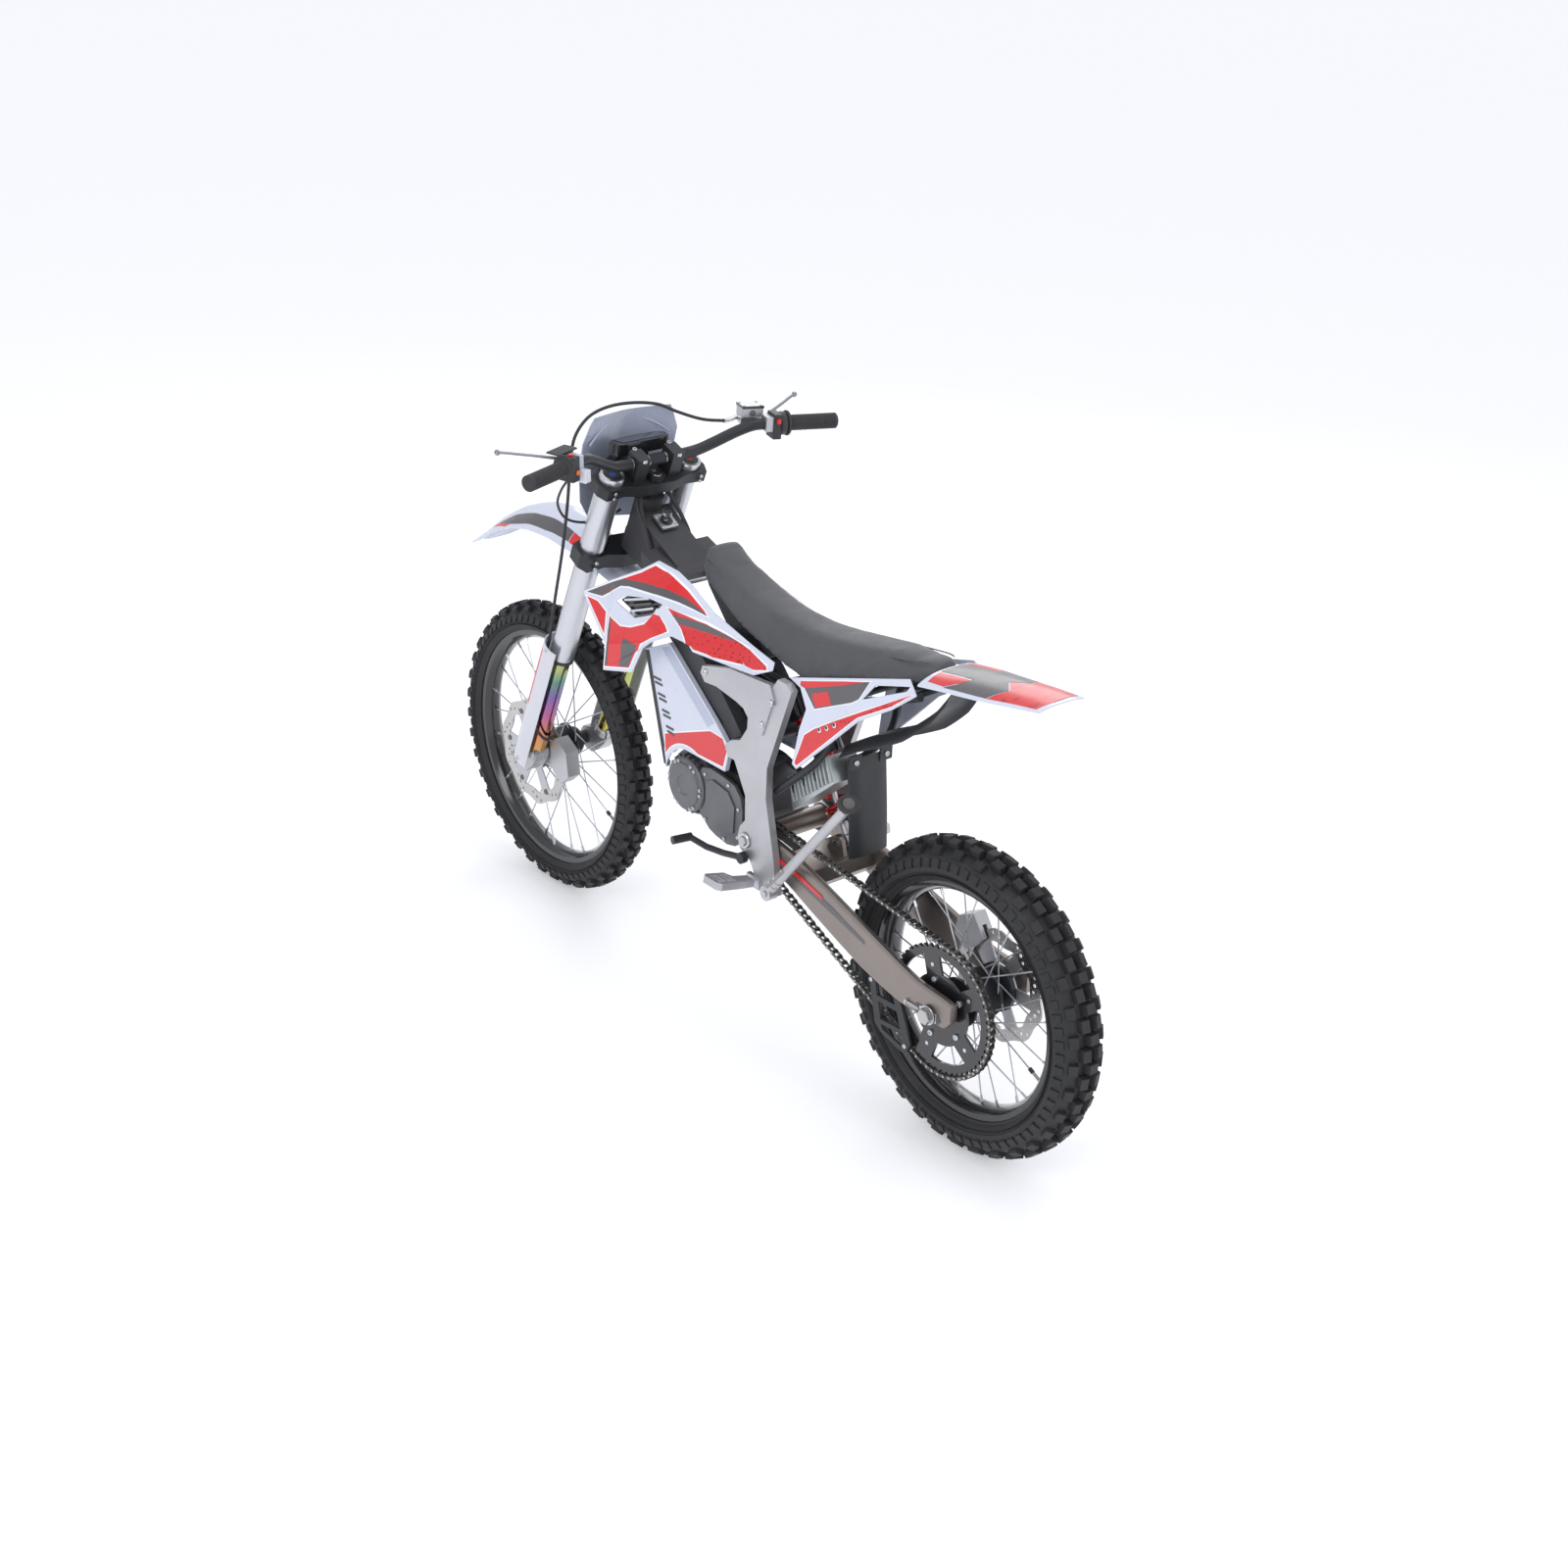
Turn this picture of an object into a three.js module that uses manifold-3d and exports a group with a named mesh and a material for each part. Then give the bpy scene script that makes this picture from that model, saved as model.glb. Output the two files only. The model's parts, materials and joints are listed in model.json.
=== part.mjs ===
// Electric off-road motorcycle, modelled as separate parts.
// Millimetres. +X is forward, +Y is the rider's left, +Z is up, and the ground is z = 0.
// Parts are laid out from the rear axle (x = 0); the whole machine is then moved so that the
// origin is the middle of its footprint.

import * as THREE from 'three';
import { mergeVertices } from 'three/addons/utils/BufferGeometryUtils.js';
import Module from 'manifold-3d';

const wasm = await Module();
wasm.setup();

// ---------------------------------------------------------------- driving dimensions
const WHEELBASE = 1400;
const REAR = { radius: 328, half: 56, flange: 243, rimHalf: 31 };
const FRONT = { radius: 347, half: 44, flange: 280, rimHalf: 24 };
const WHEEL_SIDES = 36;
const SPOKES = 28;
const GAP = 0.3;

const RAKE = THREE.MathUtils.degToRad(21.5);
const STEM_TOP = new THREE.Vector3(1034, 0, 1102);
const FORK_AHEAD = 22;
const FORK_HALF_SPACING = 100;
const AXLE_AHEAD = 64;
const AXLE_DOWN = -836.6;

const PIVOT = { x: 557, z: 476 };
const DRIVE = { x: 622, z: 492, teeth: 13 };
const REAR_TEETH = 52;
const CHAIN_PITCH = 15.875;
const CHAIN_LINE = 81;
const MOTOR = { x: 777, z: 513, radius: 72 };
const PLATE = { inner: 103, outer: 120 };
const SHOCK_LINE = -45;
const SHOCK_TOP = { x: 600, z: 765 };
const SHOCK_FOOT = { x: 425, z: 484 };

const BAR_RADIUS = 12.5;
const BAR_CENTRE = { x: 1036, z: 1138 };
const BAR_BEND = new THREE.Vector3(972, 236, 1192);
const BAR_END = new THREE.Vector3(923, 398, 1186);

// ---------------------------------------------------------------- materials
const finish = (color, roughness, metalness = 0) =>
  new THREE.MeshStandardMaterial({ color, roughness, metalness });
const BLACK_METAL = finish(0x1c1d20, 0.5, 0.6);
const CAST_SILVER = finish(0xb9bbc0, 0.45, 0.8);
const SATIN_ALUMINIUM = finish(0xd4d5d8, 0.3, 0.9);
const BRONZE_ALUMINIUM = finish(0x857e78, 0.38, 0.8);
const STEEL = finish(0x9a9b9c, 0.35, 0.9);
const BLACK_PLASTIC = finish(0x202226, 0.6);
const WHITE_PLASTIC = finish(0xe8eaf2, 0.35);
const PALE_PLASTIC = finish(0xb4b8cc, 0.35);
const RED_PLASTIC = finish(0xd01d24, 0.4);
const RUBBER = finish(0x26272a, 0.85);
const TYRE_RUBBER = finish(0x1a1b1e, 0.9);
const SEAT_VINYL = finish(0x55565b, 0.75);

// ---------------------------------------------------------------- solids
// A closed geometry becomes a solid for joining and cutting, with its faces turned outward.
function solid(geometry) {
  const bare = geometry.index ? geometry.toNonIndexed() : geometry.clone();
  for (const name of Object.keys(bare.attributes)) {
    if (name !== 'position') bare.deleteAttribute(name);
  }
  const merged = mergeVertices(bare, 1e-3);
  const position = merged.attributes.position;
  const triangles = [];
  let volume = 0;
  const [a, b, c] = [new THREE.Vector3(), new THREE.Vector3(), new THREE.Vector3()];
  for (let i = 0; i < merged.index.count; i += 3) {
    const [p, q, r] = [0, 1, 2].map((k) => merged.index.getX(i + k));
    if (p === q || q === r || r === p) continue;
    triangles.push([p, q, r]);
    a.fromBufferAttribute(position, p);
    b.fromBufferAttribute(position, q);
    c.fromBufferAttribute(position, r);
    volume += a.dot(b.cross(c));
  }
  const triVerts = new Uint32Array(
    triangles.flatMap(([p, q, r]) => (volume < 0 ? [p, r, q] : [p, q, r])),
  );
  const vertProperties = new Float32Array(position.array);
  return new wasm.Manifold(new wasm.Mesh({ numProp: 3, vertProperties, triVerts }));
}

function toGeometry(body) {
  const mesh = body.getMesh();
  const geometry = new THREE.BufferGeometry();
  geometry.setAttribute('position', new THREE.BufferAttribute(mesh.vertProperties, mesh.numProp));
  geometry.setIndex(new THREE.BufferAttribute(mesh.triVerts, 1));
  geometry.computeVertexNormals();
  return geometry;
}

const join = (...bodies) => bodies.reduce((whole, body) => whole.add(body));
const cut = (body, ...tools) => tools.reduce((whole, tool) => whole.subtract(tool), body);
const moved = (body, matrix) => solid(toGeometry(body).toNonIndexed().applyMatrix4(matrix));
const mirrored = (body) => moved(body, new THREE.Matrix4().makeScale(1, -1, 1));

// ---------------------------------------------------------------- basic shapes
const outline = (points) => new THREE.Shape(points.map(([x, z]) => new THREE.Vector2(x, z)));

function circlePoints(x, z, radius, sides, from = 0, to = 2 * Math.PI) {
  const whole = Math.abs(to - from) > 2 * Math.PI - 1e-6;
  const count = whole ? sides : sides + 1;
  return Array.from({ length: count }, (_, i) => {
    const angle = from + ((to - from) * i) / sides;
    return [x + radius * Math.cos(angle), z + radius * Math.sin(angle)];
  });
}

// An outline in the X-Z plane, filled from yLow to yHigh. The optional warp moves y by x.
function plate(points, yLow, yHigh, warp = null) {
  const geometry = new THREE.ExtrudeGeometry(outline(points), {
    depth: yHigh - yLow,
    bevelEnabled: false,
  });
  geometry.rotateX(Math.PI / 2).translate(0, yHigh, 0);
  if (warp) {
    const position = geometry.attributes.position;
    for (let i = 0; i < position.count; i += 1) {
      position.setY(i, position.getY(i) + warp(position.getX(i)));
    }
  }
  return solid(geometry);
}

// An outline in the X-Y plane, filled from zLow to zHigh.
function slab(points, zLow, zHigh) {
  const geometry = new THREE.ExtrudeGeometry(outline(points), {
    depth: zHigh - zLow,
    bevelEnabled: false,
  });
  return solid(geometry.translate(0, 0, zLow));
}

const rectangle = (x0, x1, y0, y1) => [[x0, y0], [x1, y0], [x1, y1], [x0, y1]];
const block = (x0, x1, y0, y1, z0, z1) => slab(rectangle(x0, x1, y0, y1), z0, z1);

// A cylinder along Y.
const disc = (x, z, radius, yLow, yHigh, sides = 16) =>
  plate(circlePoints(x, z, radius, sides, Math.PI / sides, 2 * Math.PI + Math.PI / sides), yLow, yHigh);

// A cylinder along Z.
const post = (x, y, radius, zLow, zHigh, sides = 16) =>
  slab(circlePoints(x, y, radius, sides), zLow, zHigh);

// A round bar from one point to another.
function rod(from, to, radius, sides = 8) {
  const start = new THREE.Vector3(...from);
  const along = new THREE.Vector3(...to).sub(start);
  const geometry = new THREE.CylinderGeometry(radius, radius, along.length(), sides);
  geometry.translate(0, along.length() / 2, 0);
  const turn = new THREE.Quaternion().setFromUnitVectors(
    new THREE.Vector3(0, 1, 0),
    along.clone().normalize(),
  );
  geometry.applyQuaternion(turn).translate(start.x, start.y, start.z);
  return solid(geometry);
}

const frameTube = (points, radius, sides = 8) =>
  join(...points.slice(1).map((point, i) => rod(points[i], point, radius, sides)));

// A closed profile of [radius, y] points turned about the Y axis.
function turned(profile, sides = WHEEL_SIDES) {
  const points = [...profile, profile[0]].map(([r, y]) => new THREE.Vector2(r, y));
  return solid(new THREE.LatheGeometry(points, sides, Math.PI / sides));
}

// A profile of [radius, z] points turned about the Z axis; it starts and ends on the axis.
function turnedUp(profile, sides = 18) {
  const points = [...profile, profile[0]].map(([r, z]) => new THREE.Vector2(r, z));
  return solid(new THREE.LatheGeometry(points, sides).rotateX(Math.PI / 2));
}

// A round tube that follows a smooth curve through the points.
function hose(points, radius, steps, sides = 8) {
  const curve = new THREE.CatmullRomCurve3(points.map((p) => new THREE.Vector3(...p)), false, 'centripetal');
  const section = outline(circlePoints(0, 0, radius, sides));
  return solid(new THREE.ExtrudeGeometry(section, { steps, bevelEnabled: false, extrudePath: curve }));
}

// Triangles of a closed body, given as corner points.
function bodyFrom(triangles) {
  const geometry = new THREE.BufferGeometry();
  const corners = new Float32Array(triangles.flat().flatMap((p) => [p.x, p.y, p.z]));
  geometry.setAttribute('position', new THREE.BufferAttribute(corners, 3));
  return solid(geometry);
}

const quad = (a, b, c, d) => [[a, b, c], [a, c, d]];

// A sheet through a grid of points, thickened along the offset vector.
function sheet(rows, offset) {
  const face = rows.map((row) => row.map((p) => new THREE.Vector3(...p)));
  const back = face.map((row) => row.map((p) => p.clone().add(offset)));
  const [last, end] = [rows.length - 1, rows[0].length - 1];
  const triangles = [];
  for (let i = 0; i < last; i += 1) {
    for (let j = 0; j < end; j += 1) {
      triangles.push(...quad(face[i][j], face[i + 1][j], face[i + 1][j + 1], face[i][j + 1]));
      triangles.push(...quad(back[i][j], back[i][j + 1], back[i + 1][j + 1], back[i + 1][j]));
    }
    triangles.push(...quad(face[i][0], back[i][0], back[i + 1][0], face[i + 1][0]));
    triangles.push(...quad(face[i][end], face[i + 1][end], back[i + 1][end], back[i][end]));
  }
  for (let j = 0; j < end; j += 1) {
    triangles.push(...quad(face[0][j], face[0][j + 1], back[0][j + 1], back[0][j]));
    triangles.push(...quad(face[last][j], back[last][j], back[last][j + 1], face[last][j + 1]));
  }
  return bodyFrom(triangles);
}

// A side panel: corner points [x, y, z] of its outer face and of its openings, thickened inward.
function panel(rim, openings, thickness) {
  const flat = (points) => points.map(([x, , z]) => new THREE.Vector2(x, z));
  const loops = [rim, ...openings];
  const corners = loops.flat().map((p) => new THREE.Vector3(...p));
  const inner = corners.map((p) => p.clone().add(new THREE.Vector3(0, -thickness, 0)));
  const triangles = [];
  for (const [a, b, c] of THREE.ShapeUtils.triangulateShape(flat(rim), openings.map(flat))) {
    triangles.push([corners[a], corners[b], corners[c]], [inner[c], inner[b], inner[a]]);
  }
  let first = 0;
  for (const loop of loops) {
    const clockwise = THREE.ShapeUtils.isClockWise(flat(loop));
    const forward = loop === rim ? !clockwise : clockwise;
    loop.forEach((_, i) => {
      const [a, b] = [first + i, first + ((i + 1) % loop.length)];
      const [p, q] = forward ? [b, a] : [a, b];
      triangles.push(...quad(corners[p], corners[q], inner[q], inner[p]));
    });
    first += loop.length;
  }
  return bodyFrom(triangles);
}

// A body skinned over closed rings of points, with its end rings capped.
function skinned(rings) {
  const loops = rings.map((ring) => ring.map((p) => new THREE.Vector3(...p)));
  const count = loops[0].length;
  const triangles = [];
  for (let i = 0; i + 1 < loops.length; i += 1) {
    for (let j = 0; j < count; j += 1) {
      const k = (j + 1) % count;
      triangles.push(...quad(loops[i][j], loops[i][k], loops[i + 1][k], loops[i + 1][j]));
    }
  }
  for (let j = 1; j + 1 < count; j += 1) {
    triangles.push([loops[0][0], loops[0][j + 1], loops[0][j]]);
    const tail = loops[loops.length - 1];
    triangles.push([tail[0], tail[j], tail[j + 1]]);
  }
  return bodyFrom(triangles);
}

// ---------------------------------------------------------------- scene groups
const bike = new THREE.Group();
const layout = new THREE.Group();
layout.position.x = -(WHEELBASE + FRONT.radius - REAR.radius) / 2;
bike.add(layout);

// Steering frame: Z along the steering axis, X across it to the front, origin at the stem's top.
const steering = new THREE.Group();
steering.position.copy(STEM_TOP);
steering.rotation.y = -RAKE;
layout.add(steering);

// Handlebar ends: Y along the bar towards its end, origin at the bar's end.
function barGroup(side) {
  const group = new THREE.Group();
  const end = BAR_END.clone();
  const outward = BAR_END.clone().sub(BAR_BEND).normalize();
  end.y *= side;
  outward.y *= side;
  group.position.copy(end);
  group.quaternion.setFromUnitVectors(new THREE.Vector3(0, side, 0), outward);
  layout.add(group);
  return group;
}
const leftBar = barGroup(1);
const rightBar = barGroup(-1);

function add(name, body, material, parent = layout, at = [0, 0, 0]) {
  const mesh = new THREE.Mesh(toGeometry(body), material);
  mesh.name = name;
  mesh.position.set(...at);
  parent.add(mesh);
}

function addPair(name, body, material) {
  add(`${name}_left`, body, material);
  add(`${name}_right`, mirrored(body), material);
}

// ---------------------------------------------------------------- wheels
function tyreBody({ radius, half, flange, rimHalf }) {
  const tread = radius / Math.cos(Math.PI / WHEEL_SIDES);
  const side = [
    [tread, half * 0.45], [tread - 18, half], [(tread + flange) / 2, half], [flange + 6, rimHalf + 6],
    [flange + 0.6, rimHalf - 4.2], [flange - 12, rimHalf - 4.2],
  ];
  return turned([...side, ...side.map(([r, y]) => [r, -y]).reverse()]);
}

function rimBody({ flange, rimHalf }) {
  const wall = rimHalf - 3.6;
  return turned([
    [flange, wall], [flange, rimHalf], [flange - 14, rimHalf], [flange - 22, rimHalf * 0.45],
    [flange - 22, -rimHalf * 0.45], [flange - 14, -rimHalf], [flange, -rimHalf], [flange, -wall],
    [flange - 13, -wall], [flange - 13, wall],
  ]);
}

// Crossed spokes, half of them to each hub flange and half of those leaning each way.
function spokeBodies({ flange }, hubFlange) {
  return Array.from({ length: SPOKES }, (_, i) => {
    const side = i % 2 ? 1 : -1;
    const lean = i % 4 < 2 ? 1 : -1;
    const rimAngle = (2 * Math.PI * i) / SPOKES;
    const hubAngle = rimAngle + lean * THREE.MathUtils.degToRad(58);
    const rim = flange - 18;
    return rod(
      [
        hubFlange.radius * Math.cos(hubAngle),
        side * hubFlange.y + lean * 3,
        hubFlange.radius * Math.sin(hubAngle),
      ],
      [rim * Math.cos(rimAngle), side * 5 + lean * 2.6, rim * Math.sin(rimAngle)],
      2, 4,
    );
  });
}

const rearHub = () => turned([
  [10.6, -90], [15.5, -90], [15.5, -73.7], [50, -73.7], [50, -62], [28, -56],
  [28, -40], [50, -38], [50, -30], [26, -26], [26, 26], [50, 30], [50, 38], [28, 40],
  [58, 64], [58, 77.2], [20, 77.2], [20, 92], [10.6, 92],
], 12);

const frontHub = () => turned([
  [10.6, -78], [18, -78], [18, -62], [34, -56], [26, -38], [46, -34], [46, -26],
  [22, -22], [22, 22], [46, 26], [46, 34], [26, 38], [42, 52], [42, 61.7], [20, 61.7],
  [20, 78], [10.6, 78],
], 12);

function wheel(name, spec, hub, hubFlange, x) {
  add(`${name}_tyre`, tyreBody(spec), TYRE_RUBBER, layout, [x, 0, spec.radius]);
  const laced = join(rimBody(spec), hub, ...spokeBodies(spec, hubFlange));
  add(`${name}_laced_wheel`, laced, BLACK_METAL, layout, [x, 0, spec.radius]);
}
wheel('rear', REAR, rearHub(), { radius: 44, y: 34 }, 0);
wheel('front', FRONT, frontHub(), { radius: 40, y: 30 }, WHEELBASE);

// A brake disc with a wavy edge and a ring of windows.
function brakeDisc(radius, bore, yLow, yHigh) {
  const waves = 10;
  const edge = Array.from({ length: waves * 4 }, (_, i) => {
    const angle = (2 * Math.PI * i) / (waves * 4);
    const r = radius - (i % 4 < 2 ? 0 : 7);
    return [r * Math.cos(angle), r * Math.sin(angle)];
  });
  const windows = Array.from({ length: 5 }, (_, i) => {
    const middle = (2 * Math.PI * i) / 5;
    return plate([
      ...circlePoints(0, 0, radius * 0.72, 2, middle - 0.42, middle + 0.42),
      ...circlePoints(0, 0, bore + 18, 1, middle + 0.26, middle - 0.26),
    ], yLow - 1, yHigh + 1);
  });
  return cut(plate(edge, yLow, yHigh), disc(0, 0, bore, yLow - 1, yHigh + 1, 14), ...windows);
}
add('rear_disc', brakeDisc(120, 30.6, -78, -74), STEEL, layout, [0, 0, REAR.radius]);
add('front_disc', brakeDisc(128, 24.6, 62, 66), STEEL, layout, [WHEELBASE, 0, FRONT.radius]);

const pitchRadius = (teeth) => CHAIN_PITCH / (2 * Math.sin(Math.PI / teeth));

function sprocketBody(teeth, bore) {
  const pitch = pitchRadius(teeth);
  const edge = Array.from({ length: teeth * 2 }, (_, i) => {
    const angle = (Math.PI * i) / teeth;
    const r = pitch + (i % 2 ? 2.6 : -4.5);
    return [r * Math.cos(angle), r * Math.sin(angle)];
  });
  const half = 3.5;
  return cut(plate(edge, CHAIN_LINE - half, CHAIN_LINE + half),
    disc(0, 0, bore, CHAIN_LINE - 9, CHAIN_LINE + 9, 20));
}

function rearSprocket() {
  const windows = Array.from({ length: 5 }, (_, i) => {
    const middle = (2 * Math.PI * (i + 0.5)) / 5;
    return plate([
      ...circlePoints(0, 0, 112, 3, middle - 0.42, middle + 0.42),
      ...circlePoints(0, 0, 72, 1, middle + 0.34, middle - 0.34),
    ], CHAIN_LINE - 9, CHAIN_LINE + 9);
  });
  return cut(sprocketBody(REAR_TEETH, 30.6), ...windows);
}
add('rear_sprocket', rearSprocket(), BLACK_METAL, layout, [0, 0, REAR.radius]);
add('drive_sprocket', sprocketBody(DRIVE.teeth, 10.4), STEEL, layout, [DRIVE.x, 0, DRIVE.z]);

// The chain's loop round both sprockets, at a distance outside their teeth.
function chainLoop(outside) {
  const [big, small] = [pitchRadius(REAR_TEETH) + outside, pitchRadius(DRIVE.teeth) + outside];
  const [dx, dz] = [DRIVE.x, DRIVE.z - REAR.radius];
  const reach = Math.hypot(dx, dz);
  const slope = Math.atan2(dz, dx);
  const spread = Math.acos((big - small) / reach);
  return [
    ...circlePoints(0, REAR.radius, big, 22, slope + spread, slope + 2 * Math.PI - spread),
    ...circlePoints(DRIVE.x, DRIVE.z, small, 8, slope - spread, slope + spread),
  ];
}
const CHAIN_HALF = 7;
add('chain', cut(
  plate(chainLoop(12), CHAIN_LINE - CHAIN_HALF, CHAIN_LINE + CHAIN_HALF),
  plate(chainLoop(3.2), CHAIN_LINE - 20, CHAIN_LINE + 20),
), BLACK_METAL);

// ---------------------------------------------------------------- swingarm and rear suspension
function swingarmBody() {
  const root = 440;
  const arm = join(
    plate([
      [583, 490], [566, 503], [480, 498], [root - 1, 489], [root - 1, 411], [545, 446], [578, 456],
    ], 82, 102),
    plate([
      [root, 489], [360, 471], [203, 426], [60, 384], [-48, 374], [-60, 350], [-42, 308], [84, 309],
      [250, 342], [root, 411],
    ], 82, 102, (x) => 15 * (1 - x / root)),
  );
  const guide = plate([[195, 335], [165, 222], [80, 192], [58, 222], [110, 330]], 91, 97);
  const axleSlot = plate(rectangle(-20, 30, 317.4, 338.6), 80, 130);
  const left = cut(join(arm, guide), axleSlot);
  const right = mirrored(cut(arm, axleSlot));
  const bridge = plate([[385, 430], [400, 412], [478, 430], [488, 462], [470, 468], [390, 462]], -95, 95);
  const ear = (y) => plate([[400, 458], [410, 494], [440, 494], [458, 460]], y - 5, y + 5);
  const footBolt = disc(SHOCK_FOOT.x, SHOCK_FOOT.z, 5, SHOCK_LINE - 30, SHOCK_LINE + 30, 12);
  const tube = disc(PIVOT.x, PIVOT.z, 24, -101, 101, 20);
  const bore = disc(PIVOT.x, PIVOT.z, 9, -130, 130, 16);
  return cut(join(left, right, bridge, ear(SHOCK_LINE - 27), ear(SHOCK_LINE + 27), footBolt, tube), bore);
}
add('swingarm', swingarmBody(), BRONZE_ALUMINIUM);

function rearAxle() {
  const nut = (low, high) => disc(0, REAR.radius, 17, low, high, 6);
  return join(disc(0, REAR.radius, 10, -133, 133, 16), nut(119, 131), nut(-131, -119));
}
add('rear_axle', rearAxle(), STEEL);

function rearCaliper() {
  const body = plate([[38, 418], [70, 462], [112, 440], [118, 398], [84, 376], [60, 392]], -92.4, -60);
  const carrier = join(
    plate([[60, 400], [84, 380], [24, 318], [-14, 346]], -93, -84),
    disc(0, REAR.radius, 26, -93, -84),
  );
  const discSlot = plate(circlePoints(0, REAR.radius, 124, 40), -81, -71);
  const bore = disc(0, REAR.radius, 16.5, -100, -70, 16);
  return cut(join(body, carrier), discSlot, bore);
}
add('rear_caliper', rearCaliper(), CAST_SILVER);

// The shock absorber stands between the frame's cross tube and the swingarm's ears.
const shock = new THREE.Group();
const shockReach = Math.hypot(SHOCK_TOP.x - SHOCK_FOOT.x, SHOCK_TOP.z - SHOCK_FOOT.z);
shock.position.set(SHOCK_TOP.x, SHOCK_LINE, SHOCK_TOP.z);
shock.rotation.y = Math.atan2(SHOCK_TOP.x - SHOCK_FOOT.x, SHOCK_TOP.z - SHOCK_FOOT.z);
layout.add(shock);

function shockBody() {
  const head = disc(0, 0, 15, -15, 15, 16);
  const damper = post(0, 0, 16.5, -180, -8, 14);
  const collar = post(0, 0, 31, -72, -60, 16);
  const reservoir = join(post(-52, 0, 17, -150, -42, 12), block(-52, 0, -12, 12, -56, -43));
  const shaftRoom = post(0, 0, 7, -190, -70, 12);
  return cut(join(head, damper, collar, reservoir), disc(0, 0, 7, -30, 30, 12), shaftRoom);
}
add('shock_body', shockBody(), BLACK_METAL, shock);

const SEAT_UP = 38;
function shockShaft() {
  const eye = disc(0, -shockReach, 14, -14, 14, 16);
  const shaft = post(0, 0, 6.5, -shockReach + 6, -130, 12);
  const seat = post(0, 0, 31, -shockReach + SEAT_UP, -shockReach + SEAT_UP + 8, 18);
  return cut(join(eye, shaft, seat), disc(0, -shockReach, 8, -30, 30, 12));
}
add('shock_shaft', shockShaft(), STEEL, shock);
add('shock_spring', cut(
  post(0, 0, 30, -shockReach + SEAT_UP + 8 + GAP, -72 - GAP, 18),
  post(0, 0, 20, -shockReach, 0, 18),
), RED_PLASTIC, shock);

// ---------------------------------------------------------------- frame
const inSteering = (body) => {
  const matrix = new THREE.Matrix4().makeRotationY(-RAKE).setPosition(STEM_TOP);
  return moved(body, matrix);
};

function mainFrame() {
  const head = inSteering(post(0, 0, 30, -178, -45, 18));
  const headBore = inSteering(post(0, 0, 16.6, -190, -30, 14));
  const topBox = plate([
    [1047, 1030], [1078, 985], [1095, 938], [1010, 905], [930, 905], [880, 938], [900, 952],
  ], -45, 45);
  const shoulders = plate([[965, 972], [960, 912], [905, 905], [872, 938], [890, 946]], -88, 88);
  const spar = plate([
    [965, 960], [925, 880], [862, 813], [684, 689], [655, 640], [605, 640], [600, 660], [640, 705],
    [700, 765], [786, 832], [850, 925], [885, 948],
  ], 62, 88);
  const lowTube = disc(622, 660, 15, -102.5, 102.5, 12);
  const shockTube = disc(SHOCK_TOP.x + 88, SHOCK_TOP.z - 35, 13, -70, 70, 12);
  const shockLug = (y) => plate([
    [SHOCK_TOP.x + 84, SHOCK_TOP.z - 46], [SHOCK_TOP.x - 4, SHOCK_TOP.z - 14],
    [SHOCK_TOP.x - 14, SHOCK_TOP.z + 6], [SHOCK_TOP.x + 6, SHOCK_TOP.z + 15],
    [SHOCK_TOP.x + 94, SHOCK_TOP.z - 26],
  ], y - 4, y + 4);
  const shockBolt = disc(SHOCK_TOP.x, SHOCK_TOP.z, 6.6, SHOCK_LINE - 25, SHOCK_LINE + 25, 12);
  const barrel = rod([1005, 0, 990], [999, 0, 1015], 17, 12);
  return cut(join(
    head, topBox, shoulders, spar, mirrored(spar), lowTube, shockTube,
    shockLug(SHOCK_LINE - 22), shockLug(SHOCK_LINE + 22), shockBolt, barrel,
  ), headBore);
}
add('main_frame', mainFrame(), BLACK_METAL);

// Cast side plate with the swingarm pivot, and the flat arm that carries the seat.
function pivotPlate() {
  const casting = plate([
    [489, 374], [513, 393], [540, 436], [574, 452], [582, 476], [576, 500], [560, 520], [562, 575],
    [600, 640], [622, 640], [632, 662], [612, 680], [584, 690], [558, 730], [514, 800], [474, 860],
    [448, 859], [432, 846], [497, 660], [497, 591], [466, 466], [455, 388],
  ], PLATE.inner, PLATE.outer);
  const seatArm = plate([
    [558, 726], [557, 750], [572, 765], [596, 772], [660, 782], [698, 779], [712, 795], [706, 812],
    [620, 835], [493, 843], [480, 815], [512, 727],
  ], 112, PLATE.outer + 4);
  const pegBlock = block(500, 540, PLATE.outer - 2, 128, 386, 412);
  return join(casting, seatArm, pegBlock);
}

function leftPivotPlate() {
  const pivotBolt = disc(PIVOT.x, PIVOT.z, 8.4, -124, 124, 16);
  const standBolt = disc(462, 400, 6, 110, 146, 12);
  return join(pivotPlate(), pivotBolt, standBolt);
}
add('pivot_plate_left', leftPivotPlate(), CAST_SILVER);
add('pivot_plate_right',
  cut(mirrored(pivotPlate()), disc(PIVOT.x, PIVOT.z, 8.8, -130, -90, 16)), CAST_SILVER);

function subframe() {
  const rail = [[792, 70, 868], [600, 74, 838], [455, 74, 828], [300, 70, 862], [150, 44, 918]];
  const strut = [[500, 90, 600], [365, 86, 735], [330, 74, 846]];
  const side = join(hose(rail, 9, 9, 6), hose(strut, 8, 5, 6));
  const ties = [[600, 74, 838], [330, 71, 856], [170, 48, 912]]
    .map(([x, y, z]) => rod([x, -y, z], [x, y, z], 7, 6));
  return join(side, mirrored(side), ...ties);
}
add('subframe', subframe(), BLACK_METAL);

// ---------------------------------------------------------------- battery, motor and controller
const BATTERY_HALF = 79;
add('battery_pack', plate([
  [921, 764], [852, 802], [694, 690], [676, 650], [697, 606], [790, 606], [856, 606],
], -BATTERY_HALF, BATTERY_HALF), BLACK_PLASTIC);

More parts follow.
